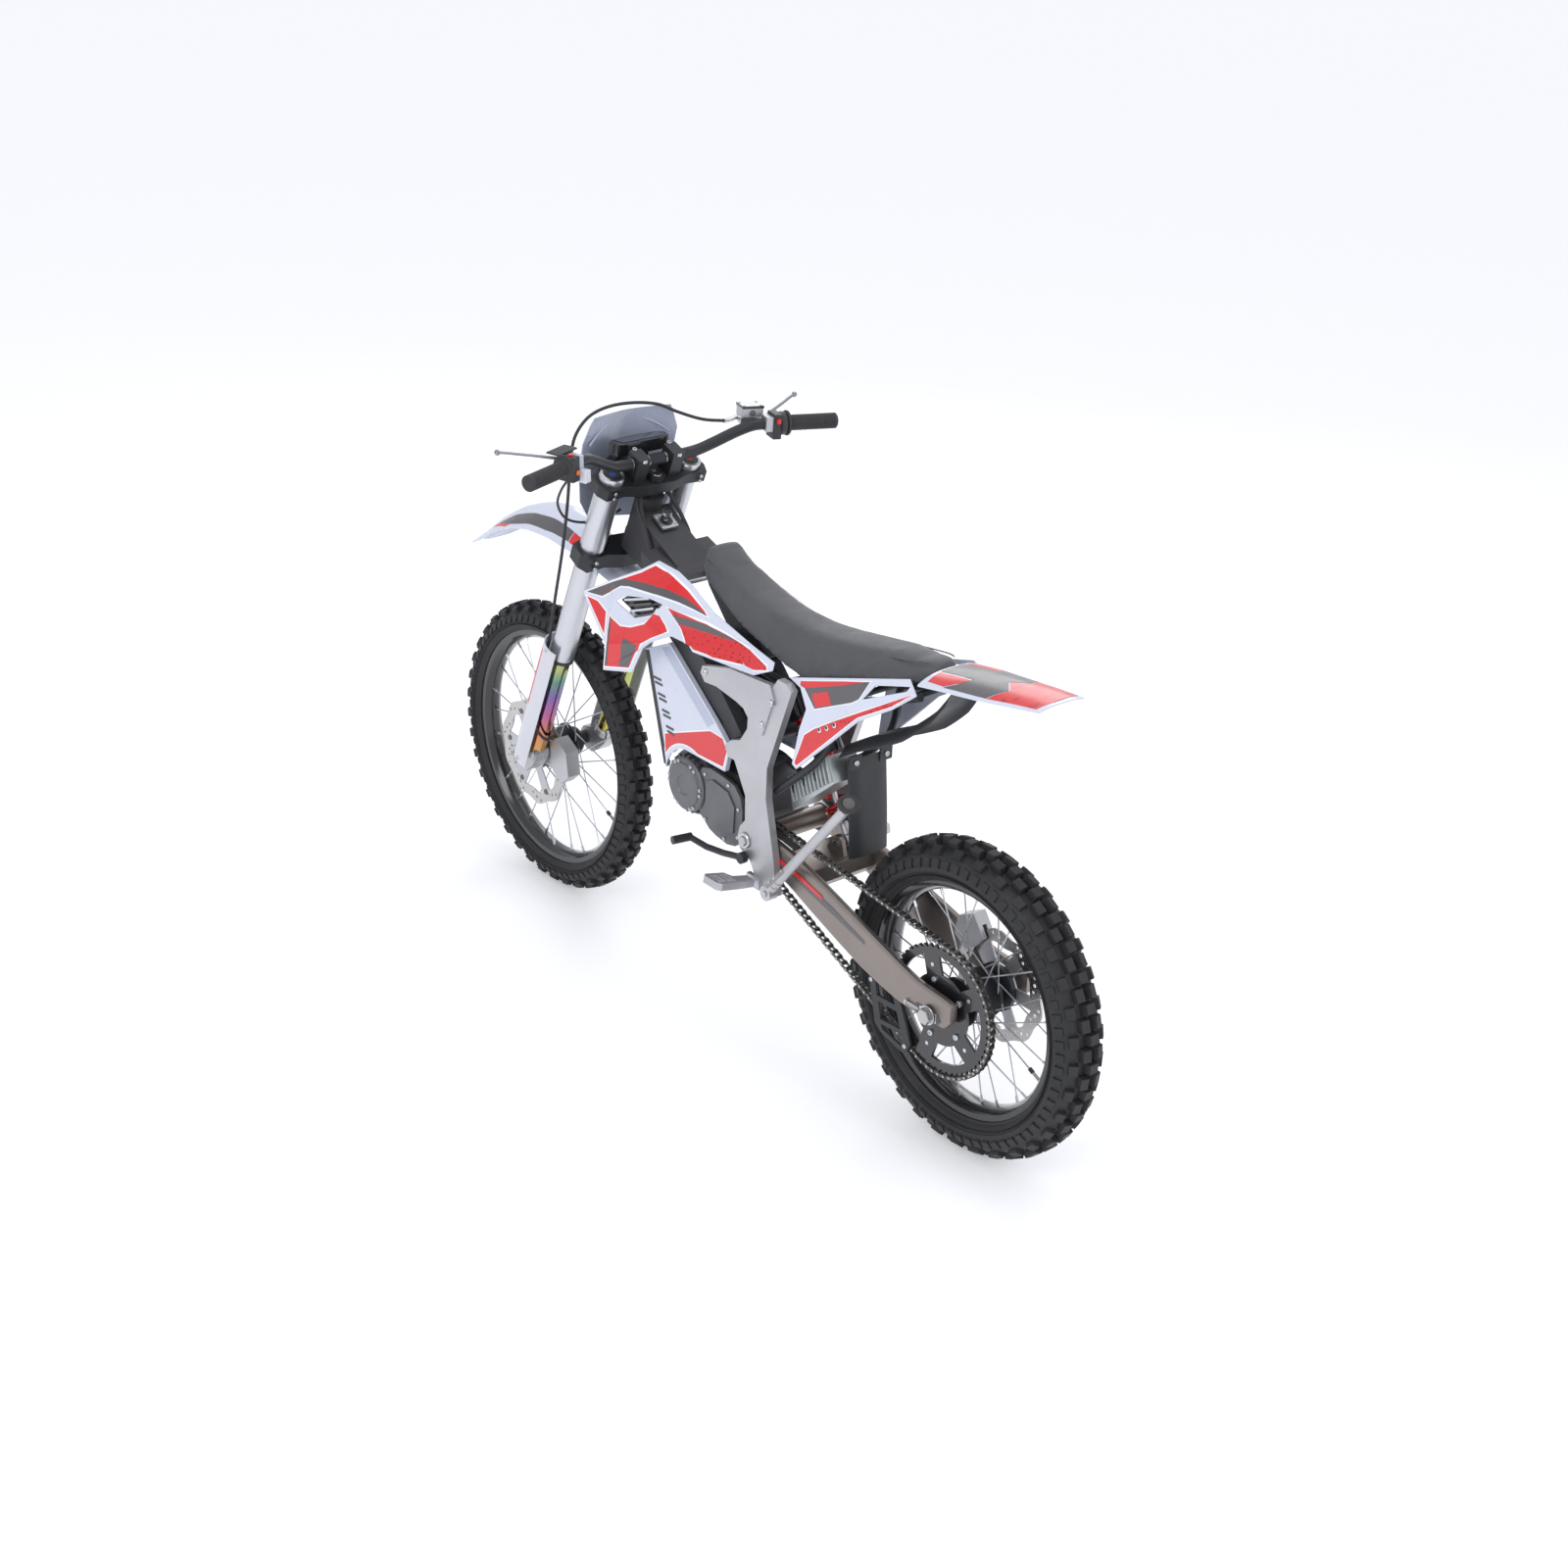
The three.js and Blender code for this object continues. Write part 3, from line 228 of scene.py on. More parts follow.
def surface(name, color, rough, metal=0.0, spread=0.12, spread_scale=9.0, rough_spread=0.06,
            grain=None, brushed=None, coat=0.0, sheen=0.0, scuffs=0.0):
    """A material with uneven colour and gloss. grain is (scale, strength, depth in mm) of fine bumps,
    brushed is the stretch of fine scratch lines."""
    n = Nodes(name)
    tone = n.noise(spread_scale, 5.0)
    base = n.mix(n.ramp(tone, 0.0, 1.0), shade(color, 1 - spread), shade(color, 1 + spread))
    if scuffs:
        worn = n.math("GREATER_THAN", n.noise(38.0, 9.0, 0.7), 1 - scuffs)
        base = n.mix(worn, base, shade(color, 1.7))
    n.link(base, "Base Color")
    gloss = n.noise(31.0, 6.0)
    height = None
    if brushed:
        lines = n.noise(60.0, 3.0, 0.6, stretch=brushed)
        gloss = n.math("ADD", n.math("MULTIPLY", gloss, 0.4), n.math("MULTIPLY", lines, 0.6))
        height = (lines, 0.12, 0.0002)
    n.link(n.ramp(gloss, max(0.04, rough - rough_spread), min(1.0, rough + rough_spread)), "Roughness")
    if grain:
        scale, strength, depth = grain
        height = (n.noise(scale, 6.0, 0.6), strength, depth * MM)
    if height:
        n.bump(*height)
    n.set(Metallic=metal)
    if coat:
        n.set(Coat_Weight=coat, Coat_Roughness=0.12)
    if sheen:
        n.set(Sheen_Weight=sheen, Sheen_Roughness=0.4)
    return n.material


def leather(name, color):
    """Seat vinyl with a fine pebbled grain."""
    n = Nodes(name)
    cells = n.cells(620.0)
    fine = n.noise(900.0, 4.0)
    grain = n.math("ADD", n.math("MULTIPLY", cells, 0.7), n.math("MULTIPLY", fine, 0.3))
    tone = n.mix(n.ramp(n.noise(6.0, 4.0), 0.0, 1.0), shade(color, 0.86), shade(color, 1.14))
    n.link(tone, "Base Color")
    n.link(n.ramp(n.noise(40.0), 0.52, 0.68), "Roughness")
    n.bump(grain, 0.35, 0.0006)
    n.set(Sheen_Weight=0.15)
    return n.material


def tempered(name, stops, low, high):
    """Heat-coloured metal whose colour runs along the leg from one end to the other."""
    n = Nodes(name)
    along = n.node("ShaderNodeVectorMath", {0: n.place, 1: (0, 0, 1)}, operation="DOT_PRODUCT").outputs["Value"]
    wobble = n.math("MULTIPLY", n.math("SUBTRACT", n.noise(22.0, 3.0), 0.5), 0.03)
    t = n.node("ShaderNodeMapRange", {"Value": n.math("ADD", along, wobble), "From Min": low,
                                      "From Max": high}).outputs["Result"]
    ramp = n.node("ShaderNodeValToRGB", {"Fac": t})
    points = ramp.color_ramp.elements
    points[0].position, points[0].color = stops[0][0], (*stops[0][1], 1)
    points[1].position, points[1].color = stops[-1][0], (*stops[-1][1], 1)
    for at, color in stops[1:-1]:
        points.new(at).color = (*color, 1)
    n.link(ramp.outputs["Color"], "Base Color")
    n.link(n.ramp(n.noise(40.0), 0.1, 0.2), "Roughness")
    n.set(Metallic=1.0)
    return n.material


def dotted(name, color, dots, scale, radius):
    """A printed panel with a pattern of small dots that fades in and out over the surface."""
    n = Nodes(name)
    cells = n.cells(scale, stretch=(1, 0.0, 1))
    fade = n.ramp(n.noise(5.0, 1.0), 0.12, radius)
    inside = n.math("LESS_THAN", cells, fade)
    tone = n.mix(n.ramp(n.noise(7.0), 0.0, 1.0), shade(color, 0.94), shade(color, 1.06))
    n.link(n.mix(inside, tone, (*dots, 1)), "Base Color")
    n.link(n.ramp(n.noise(45.0), 0.26, 0.36), "Roughness")
    n.bump(n.noise(240.0), 0.04, 0.0002)
    n.set(Coat_Weight=0.3, Coat_Roughness=0.12)
    return n.material


WHITE = surface("white_moulding", (0.62, 0.65, 0.76), 0.3, coat=0.35, spread=0.03, grain=(260, 0.04, 0.2))
BORDER = surface("white_print", (0.86, 0.87, 0.9), 0.28, coat=0.35, spread=0.02, grain=(260, 0.03, 0.2))
PALE = surface("pale_moulding", (0.44, 0.48, 0.60), 0.3, coat=0.35, spread=0.05, grain=(240, 0.05, 0.2))
RED = surface("red_graphic", (0.66, 0.018, 0.022), 0.3, coat=0.35, spread=0.06, grain=(250, 0.04, 0.2))
RED_DOTS = dotted("red_dotted", (0.66, 0.018, 0.022), (0.24, 0.006, 0.01), 120.0, 0.42)
GREY = surface("grey_graphic", (0.095, 0.09, 0.098), 0.36, coat=0.25, spread=0.08, grain=(250, 0.05, 0.2))
GREY_DOTS = dotted("grey_dotted", (0.095, 0.09, 0.098), (0.5, 0.02, 0.024), 120.0, 0.38)
BLACK_METAL = surface("black_metal", (0.035, 0.036, 0.04), 0.4, 0.5, spread=0.2, grain=(420, 0.16, 0.5))
FRAME_BLACK = surface("frame_black", (0.05, 0.05, 0.055), 0.5, 0.35, spread=0.18, grain=(300, 0.3, 0.9))
GLOSS_BLACK = surface("gloss_black", (0.014, 0.014, 0.016), 0.16, coat=0.5, spread=0.1)
BLACK_PLASTIC = surface("black_plastic", (0.026, 0.027, 0.03), 0.5, spread=0.15, grain=(520, 0.2, 0.4))
CAST = surface("cast_silver", (0.50, 0.50, 0.52), 0.42, 0.8, spread=0.07, grain=(360, 0.3, 0.9), scuffs=0.26)
DARK_CAST = surface("dark_cast", (0.16, 0.16, 0.17), 0.45, 0.7, spread=0.1, grain=(340, 0.3, 0.8))
SATIN = surface("satin_aluminium", (0.60, 0.61, 0.64), 0.3, 0.95, spread=0.03, brushed=(1, 1, 0.05))
MACHINED = surface("machined", (0.62, 0.62, 0.64), 0.26, 1.0, spread=0.05, grain=(500, 0.1, 0.3))
BRONZE = surface("bronze_alloy", (0.27, 0.235, 0.215), 0.34, 0.8, spread=0.08, brushed=(0.05, 1, 1))
STEEL = surface("steel", (0.5, 0.49, 0.48), 0.28, 1.0, spread=0.1, grain=(300, 0.12, 0.3), scuffs=0.3)
DARK_STEEL = surface("dark_steel", (0.13, 0.125, 0.12), 0.35, 0.9, spread=0.2, grain=(400, 0.15, 0.3))
LEVER_ALLOY = surface("lever_alloy", (0.30, 0.30, 0.32), 0.34, 0.9, spread=0.06, brushed=(0.05, 1, 1))
RUBBER = surface("rubber", (0.03, 0.03, 0.033), 0.68, spread=0.2, grain=(700, 0.25, 0.4), sheen=0.1)
TYRE = surface("tyre_rubber", (0.016, 0.016, 0.018), 0.62, spread=0.25, grain=(160, 0.35, 0.9), scuffs=0.25)
GUARD = surface("guard_moulding", (0.62, 0.63, 0.68), 0.36, coat=0.2, spread=0.04, grain=(240, 0.05, 0.2))
RED_ANODISED = surface("red_anodised", (0.5, 0.02, 0.02), 0.25, 0.6, spread=0.06, grain=(400, 0.1, 0.2))
RED_PLASTIC = surface("red_plastic", (0.62, 0.015, 0.015), 0.3, coat=0.3, spread=0.05, grain=(400, 0.06, 0.2))
ORANGE_PLASTIC = surface("orange_plastic", (0.8, 0.16, 0.01), 0.35, spread=0.05, grain=(400, 0.06, 0.2))
BLUE_ANODISED = surface("blue_anodised", (0.02, 0.08, 0.42), 0.25, 0.7, spread=0.06, grain=(400, 0.1, 0.2))
ALLOY_BOX = surface("alloy_box", (0.47, 0.50, 0.50), 0.36, 0.85, spread=0.06, brushed=(0.05, 1, 1))
VINYL = leather("seat_vinyl", (0.07, 0.07, 0.077))
TEMPERED_LEFT = tempered("tempered_left", [
    (0.0, (0.62, 0.42, 0.12)), (0.3, (0.62, 0.25, 0.14)), (0.5, (0.46, 0.14, 0.28)),
    (0.7, (0.22, 0.15, 0.36)), (0.88, (0.14, 0.28, 0.22)), (1.0, (0.42, 0.46, 0.2))], 0.36, 0.62)
TEMPERED_RIGHT = tempered("tempered_right", [
    (0.0, (0.58, 0.48, 0.13)), (0.5, (0.6, 0.52, 0.16)), (0.8, (0.42, 0.5, 0.18)), (1.0, (0.55, 0.5, 0.2))],
    0.36, 0.62)


# ---------------------------------------------------------------- mesh building
class Shape:
    """Closed bodies gathered into one mesh. Each body has its own material."""

    def __init__(self):
        self.verts, self.faces, self.slots, self.materials = [], [], [], []

    def add(self, body, material, matrix=None):
        verts, faces = body
        if material not in self.materials:
            self.materials.append(material)
        slot = self.materials.index(material)
        first = len(self.verts)
        self.verts += [matrix @ Vector(v) if matrix else Vector(v) for v in verts]
        self.faces += [tuple(first + i for i in face) for face in faces]
        self.slots += [slot] * len(faces)
        return self

    def both(self, body, material, matrix=None):
        """The body and its mirror image across the middle of the machine."""
        verts, faces = body
        placed = [matrix @ Vector(v) if matrix else Vector(v) for v in verts]
        self.add((placed, faces), material)
        flipped = [(v[0], -v[1], v[2]) for v in placed]
        return self.add((flipped, [face[::-1] for face in faces]), material)

    def make(self, name, body, replaces=(), slot=None, sharp=38, bevel=0.0, segments=2):
        mesh = bpy.data.meshes.new(name)
        mesh.from_pydata([tuple(P(*v)) for v in self.verts], [], self.faces)
        for material in self.materials:
            mesh.materials.append(material)
        mesh.polygons.foreach_set("material_index", self.slots)
        work = bmesh.new()
        work.from_mesh(mesh)
        bmesh.ops.recalc_face_normals(work, faces=work.faces)
        work.to_mesh(mesh)
        work.free()
        return finish_piece(mesh, name, body, replaces, sharp, bevel, segments)


def finish_piece(mesh, name, body, replaces, sharp, bevel, segments):
    obj = bpy.data.objects.new(name, mesh)
    bpy.context.scene.collection.objects.link(obj)
    mesh.shade_smooth()
    mesh.set_sharp_from_angle(angle=radians(sharp))
    if bevel:
        modifier = obj.modifiers.new("rounded_edges", "BEVEL")
        modifier.width, modifier.segments = bevel * MM, segments
        modifier.limit_method, modifier.angle_limit = "ANGLE", radians(32)
        modifier.harden_normals = False
        weighted = obj.modifiers.new("even_shading", "WEIGHTED_NORMAL")
        weighted.keep_sharp = True
    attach(obj, body)
    if replaces:
        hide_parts(*replaces)
    return obj


def refined(node, material, bevel=1.5, segments=2, merge=1.0):
    """A CAD node again with rounded edges and its own finish."""
    work = bmesh.new()
    work.from_mesh(frame["nodes"][node].data)
    bmesh.ops.remove_doubles(work, verts=work.verts, dist=WELD)
    bmesh.ops.dissolve_limit(work, angle_limit=radians(merge), verts=work.verts, edges=work.edges)
    bmesh.ops.recalc_face_normals(work, faces=work.faces)
    mesh = bpy.data.meshes.new("r_" + node)
    work.to_mesh(mesh)
    work.free()
    mesh.materials.append(material)
    return finish_piece(mesh, "r_" + node, frame["nodes"][node]["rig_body"], [node],
                        38, bevel, segments)


# ---------------------------------------------------------------- basic bodies, as (corners, faces)
def axis_matrix(at, along, spin=0.0):
    """Places Z of a body along the given direction."""
    turn = Vector(along).to_track_quat("Z", "Y").to_matrix().to_4x4()
    return shifted(Vector(at)) @ turn @ turned(spin, "Z")


def lathe(profile, sides=48, closed=False):
    """A profile of (radius, height) turned about Z. It starts and ends on the axis, or is a closed ring."""
    verts, rows = [], []
    for r, h in profile:
        if r < 1e-6:
            rows.append([len(verts)])
            verts.append((0, 0, h))
        else:
            rows.append(list(range(len(verts), len(verts) + sides)))
            verts += [(r * cos(TAU * i / sides), r * sin(TAU * i / sides), h)
                      for i in range(sides)]
    faces = []
    pairs = list(zip(rows, rows[1:])) + ([(rows[-1], rows[0])] if closed else [])
    for a, b in pairs:
        for i in range(sides):
            j = (i + 1) % sides
            if len(a) == 1 and len(b) == 1:
                continue
            if len(a) == 1:
                faces.append((a[0], b[i], b[j]))
            elif len(b) == 1:
                faces.append((a[i], b[0], a[j]))
            else:
                faces.append((a[i], b[i], b[j], a[j]))
    return verts, faces


def cylinder(radius, low, high, sides=32, edge=0.0):
    """A cylinder along Z with its rims eased by edge."""
    side = [(radius, low), (radius, high)]
    if edge:
        side = [(radius - edge, low), (radius, low + edge), (radius, high - edge), (radius - edge, high)]
    return lathe([(0, low), *side, (0, high)], sides)


def pipe(outer, inner, low, high, sides=48):
    return lathe([(inner, low), (outer, low), (outer, high), (inner, high)], sides, closed=True)


def bolt(radius, height, socket=True):
    """A screw head standing up Z from 0: round with a recess, or a plain hexagon without the socket."""
    if not socket:
        return cylinder(radius * 1.12, 0, height, 6, 0.8)
    r = radius * 0.48
    return lathe([(0, 0), (radius, 0), (radius, height * 0.7), (radius * 0.86, height), (r, height),
                  (r, height * 0.45), (0, height * 0.45)], 12)


def prism(outline, low, high, holes=()):
    """An outline in X and Z with holes, filled from y = low to y = high."""
    loops = [list(outline), *[list(h) for h in holes]]
    flat = [[Vector((x, z, 0)) for x, z in loop] for loop in loops]
    caps = tessellate_polygon(flat)
    points = [p for loop in loops for p in loop]
    count = len(points)
    verts = [(x, low, z) for x, z in points] + [(x, high, z) for x, z in points]
    faces = [tuple(t) for t in caps] + [tuple(count + i for i in t[::-1]) for t in caps]
    first = 0
    for loop in loops:
        size = len(loop)
        for i in range(size):
            a, b = first + i, first + (i + 1) % size
            faces.append((a, b, count + b, count + a))
        first += size
    return verts, faces


def plate(outline, low, high):
    """A convex outline in X and Y, filled from z = low to z = high."""
    n = len(outline)
    sides = [(k, (k + 1) % n, n + (k + 1) % n, n + k) for k in range(n)]
    verts = [(x, y, z) for z in (low, high) for x, y in outline]
    return verts, [tuple(range(n))[::-1], tuple(range(n, 2 * n)), *sides]


def box(x0, x1, y0, y1, z0, z1):
    verts = [(x, y, z) for z in (z0, z1) for y in (y0, y1) for x in (x0, x1)]
    faces = [(0, 2, 3, 1), (4, 5, 7, 6), (0, 1, 5, 4), (2, 6, 7, 3), (0, 4, 6, 2), (1, 3, 7, 5)]
    return verts, faces


def circle(x, z, radius, count, start=0.0, sweep=TAU):
    full = abs(abs(sweep) - TAU) < 1e-6
    steps = count if full else count + 1
    return [(x + radius * cos(start + sweep * i / count), z + radius * sin(start + sweep * i / count))
            for i in range(steps)]


def smooth_path(points, per_span):
    """Catmull-Rom points through the given ones, centripetal in spacing."""
    pts = [Vector(p) for p in points]
    pts = [2 * pts[0] - pts[1], *pts, 2 * pts[-1] - pts[-2]]
    out = []
    for i in range(1, len(pts) - 2):
        p0, p1, p2, p3 = pts[i - 1:i + 3]
        t1 = (p1 - p0).length ** 0.5 + 1e-6
        t2 = t1 + (p2 - p1).length ** 0.5 + 1e-6
        t3 = t2 + (p3 - p2).length ** 0.5 + 1e-6
        for k in range(per_span):
            t = t1 + (t2 - t1) * k / per_span
            a1 = p0 * ((t1 - t) / t1) + p1 * (t / t1)
            a2 = p1 * ((t2 - t) / (t2 - t1)) + p2 * ((t - t1) / (t2 - t1))
            a3 = p2 * ((t3 - t) / (t3 - t2)) + p3 * ((t - t2) / (t3 - t2))
            b1 = a1 * ((t2 - t) / t2) + a2 * (t / t2)
            b2 = a2 * ((t3 - t) / (t3 - t1)) + a3 * ((t - t1) / (t3 - t1))
            out.append(b1 * ((t2 - t) / (t2 - t1)) + b2 * ((t - t1) / (t2 - t1)))
    out.append(pts[-2])
    return out


def tube(points, radius, sides=12, flat=1.0, closed=False):
    """A round rod along the points. radius is one number, or one for each point."""
    pts = [Vector(p) for p in points]
    count = len(pts)
    radii = radius if isinstance(radius, (list, tuple)) else [radius] * count
    verts, faces = [], []
    normal = None
    for i, p in enumerate(pts):
        if closed:
            ahead = (pts[(i + 1) % count] - pts[i - 1]).normalized()
        else:
            ahead = (pts[min(i + 1, count - 1)] - pts[max(i - 1, 0)]).normalized()
        if normal is None:
            seed = Vector((0, 0, 1)) if abs(ahead.z) < 0.9 else Vector((1, 0, 0))
            normal = (seed - ahead * seed.dot(ahead)).normalized()
        else:
            normal = (normal - ahead * normal.dot(ahead)).normalized()
        side = ahead.cross(normal)
        for k in range(sides):
            a = TAU * k / sides
            verts.append(p + radii[i] * (flat * cos(a) * normal + sin(a) * side))
    spans = count if closed else count - 1
    for i in range(spans):
        for k in range(sides):
            n = (k + 1) % sides
            a, b = i * sides, ((i + 1) % count) * sides
            faces.append((a + k, a + n, b + n, b + k))
    if not closed:
        faces.append(tuple(range(sides))[::-1])
        faces.append(tuple((count - 1) * sides + k for k in range(sides)))
    return verts, faces


def grid(rows, thickness):
    """A smooth sheet through rows of points, thickened by a vector."""
    count, width = len(rows), len(rows[0])
    top = [Vector(p) for row in rows for p in row]
    low = [p + Vector(thickness) for p in top]
    verts = top + low
    n = len(top)
    faces = []
    for i in range(count - 1):
        for j in range(width - 1):
            a = i * width + j
            quad = (a, a + width, a + width + 1, a + 1)
            faces += [quad, tuple(n + k for k in quad[::-1])]
        for a, b in ((i * width, (i + 1) * width), (i * width + width - 1, (i + 1) * width + width - 1)):
            faces.append((a, b, n + b, n + a))
    for j in range(width - 1):
        for a in (j, (count - 1) * width + j):
            faces.append((a, a + 1, n + a + 1, n + a))
    return verts, faces


def loft(rings):
    """A closed skin through rings of the same number of points."""
    size = len(rings[0])
    last = (len(rings) - 1) * size
    faces = [(i + j, i + (j + 1) % size, i + (j + 1) % size + size, i + j + size)
             for i in range(0, last, size) for j in range(size)]
    faces += [tuple(range(size))[::-1], tuple(last + j for j in range(size))]
    return [p for ring in rings for p in ring], faces


def spline_rows(stations, steps):
    """Rows of numbers between stations, following a smooth curve through each column."""
    columns = []
    for column in zip(*stations):
        path = smooth_path([(i, value, 0) for i, value in enumerate(column)], steps)
        columns.append([p.y for p in path])
    return list(zip(*columns))


STEER = shifted(Vector(STEM_TOP)) @ turned(-RAKE, "Y")


# ---------------------------------------------------------------- wheels
def knobs(shape, spec, rows, crown):
    """Tread blocks. A row is (angle across the tread, count, phase, length, width, height)."""
    radius, half = spec["radius"], spec["half"]
    for lean, count, phase, length, width, height in rows:
        for i in range(count):
            a = TAU * (i + phase) / count
            tilt = radians(lean)
            across = (half - 13) * sin(tilt)
            base = radius - crown * (1 - cos(tilt)) - 14
            block = box(-length / 2, length / 2, -width / 2, width / 2, -5, height)
            verts = [(x * (0.9 if z > 0 else 1.06), y * (0.86 if z > 0 else 1.05), z) for x, y, z in block[0]]
            turn = (shifted((spec["x"], 0, radius)) @ turned(-a, "Y")
                    @ shifted((0, across, base)) @ turned(-tilt * 0.9, "X"))
            shape.add((verts, block[1]), TYRE, turn)


def about_y(profile, sides, spec):
    """A closed profile of (radius, y) turned about the axle of a wheel."""
    verts, faces = lathe(profile, sides, closed=True)
    turn = shifted((spec["x"], 0, spec["radius"])) @ turned(pi / 2, "X")
    return [turn @ Vector((x, y, -z)) for x, y, z in verts], faces


def tyre(name, spec, rows, crown):
    radius, half, flange, rim = spec["radius"], spec["half"], spec["flange"], spec["rim_half"]
    shape = Shape()
    side = [(radius - 16.5, 0), (radius - 18, half * 0.35), (radius - 23, half * 0.6), (radius - 33, half * 0.8),
            (radius - 45, half * 0.9), (flange + 22, half * 0.88), (flange + 10, half * 0.74),
            (flange + 6, rim + 4.5), (flange + 1.5, rim + 2.5), (flange + 0.8, rim - 4.4), (flange - 10, rim - 4.6)]
    profile = side[::-1] + [(r, -y) for r, y in side[1:]]
    shape.add(about_y(profile, 112, spec), TYRE)
    for sign in (1, -1):
        for r in (flange + 14, flange + 20):
            ring = [(r, sign * (half * 0.8)), (r + 1.4, sign * (half * 0.88 + 1)), (r + 2.8, sign * half * 0.84)]
            shape.add(about_y(ring, 96, spec), TYRE)
    knobs(shape, spec, rows, crown)
    shape.make("p_" + name, name.replace("tyre", "wheel"), [name], "tyre_rubber", sharp=32)


def spoke_shape(spec, hub_r, hub_y, count):
    """Crossed spokes with nipples, in the places where the frame has its own."""
    shape = Shape()
    centre, rim = Vector((spec["x"], 0, spec["radius"])), spec["flange"] - 20
    for i in range(count):
        side = 1 if i % 2 else -1
        lean = 1 if i % 4 < 2 else -1
        outer = TAU * i / count
        inner = outer + lean * radians(58)
        a = centre + Vector((hub_r * cos(inner), side * hub_y + lean * 3, hub_r * sin(inner)))
        b = centre + Vector((rim * cos(outer), side * 5 + lean * 2.6, rim * sin(outer)))
        out = (b - a).normalized()
        shape.add(tube([a - out * 5, b + out * 2], 1.5, 8), SATIN)
        shape.add(tube([b - out * 15, b + out * 3], 3.0, 6), SATIN)
    return shape


def rim_shape(shape, spec, hub):
    """The rim, the hub from its own profile, and the valve."""
    f, h = spec["flange"], spec["rim_half"]
    profile = [(f + 0.3, h - 3.4), (f + 0.3, h), (f - 4, h + 0.2), (f - 11, h - 1.5), (f - 15, h - 6),
               (f - 20, h * 0.5), (f - 22, h * 0.3), (f - 22, -h * 0.3), (f - 20, -h * 0.5), (f - 15, 6 - h),
               (f - 11, 1.5 - h), (f - 4, -h - 0.2), (f + 0.3, -h), (f + 0.3, 3.4 - h), (f - 12, 4 - h),
               (f - 12, h - 4)]
    shape.add(about_y(profile, 128, spec), GLOSS_BLACK)
    shape.add(about_y(hub, 48, spec), BLACK_METAL)
    valve = radians(205)
    at = Vector((spec["x"] + (f - 22) * cos(valve), 0, spec["radius"] + (f - 22) * sin(valve)))
    inward = Vector((-cos(valve), 0, -sin(valve)))
    shape.add(cylinder(3.2, -2, 26, 12), BRONZE, axis_matrix(at, inward))
    shape.add(cylinder(4.4, 24, 36, 12, 1), RUBBER, axis_matrix(at, inward))


def add_wheels():
    rear_rows = [(-18, 34, 0.0, 27, 19, 13.5), (18, 34, 0.0, 27, 19, 13.5), (0, 34, 0.5, 22, 24, 13.5),
                 (-44, 34, 0.5, 25, 20, 14), (44, 34, 0.5, 25, 20, 14),
                 (-72, 68, 0.25, 17, 20, 12), (72, 68, 0.25, 17, 20, 12)]
    front_rows = [(-14, 40, 0.0, 22, 15, 13.5), (14, 40, 0.0, 22, 15, 13.5), (0, 40, 0.5, 19, 15, 13.5),
                  (-40, 40, 0.5, 22, 15, 13.5), (40, 40, 0.5, 22, 15, 13.5),
                  (-70, 80, 0.25, 14, 18, 11), (70, 80, 0.25, 14, 18, 11)]
    tyre("rear_tyre", REAR, rear_rows, 48)
    tyre("front_tyre", FRONT, front_rows, 42)
    rear_hub = [(10.8, -90), (15, -90), (15.4, -74), (48, -73.8), (50, -71), (50, -62), (44, -59), (30, -54),
                (27, -44), (32, -40), (50, -37.5), (51, -34), (50, -30.5), (34, -27), (26, -20), (24.5, 0), (26, 20),
                (34, 27), (50, 30.5), (51, 34), (50, 37.5), (32, 41), (30, 52), (42, 62), (58, 65), (58, 77),
                (22, 77.1), (20, 91), (10.8, 91)]
    front_hub = [(10.8, -77), (17, -77), (18, -62), (30, -57), (33, -50), (28, -40), (45, -33.5), (46.5, -30),
                 (45, -26.5), (28, -22), (21.5, -12), (21.5, 12), (28, 22), (45, 26.5), (46.5, 30), (45, 33.5),
                 (30, 39), (30, 46), (42, 53), (42, 61.5), (21, 61.8), (20, 77), (10.8, 77)]
    for name, spec, hub, reach in (("rear", REAR, rear_hub, (44, 34)), ("front", FRONT, front_hub, (40, 30))):
        shape = spoke_shape(spec, *reach, 28)
        rim_shape(shape, spec, hub)
        shape.make(f"p_{name}_laced_wheel", f"{name}_wheel", [f"{name}_laced_wheel"], "black_metal", sharp=34)


def polar(at, radius, angle):
    return at[0] + radius * cos(angle), at[1] + radius * sin(angle)


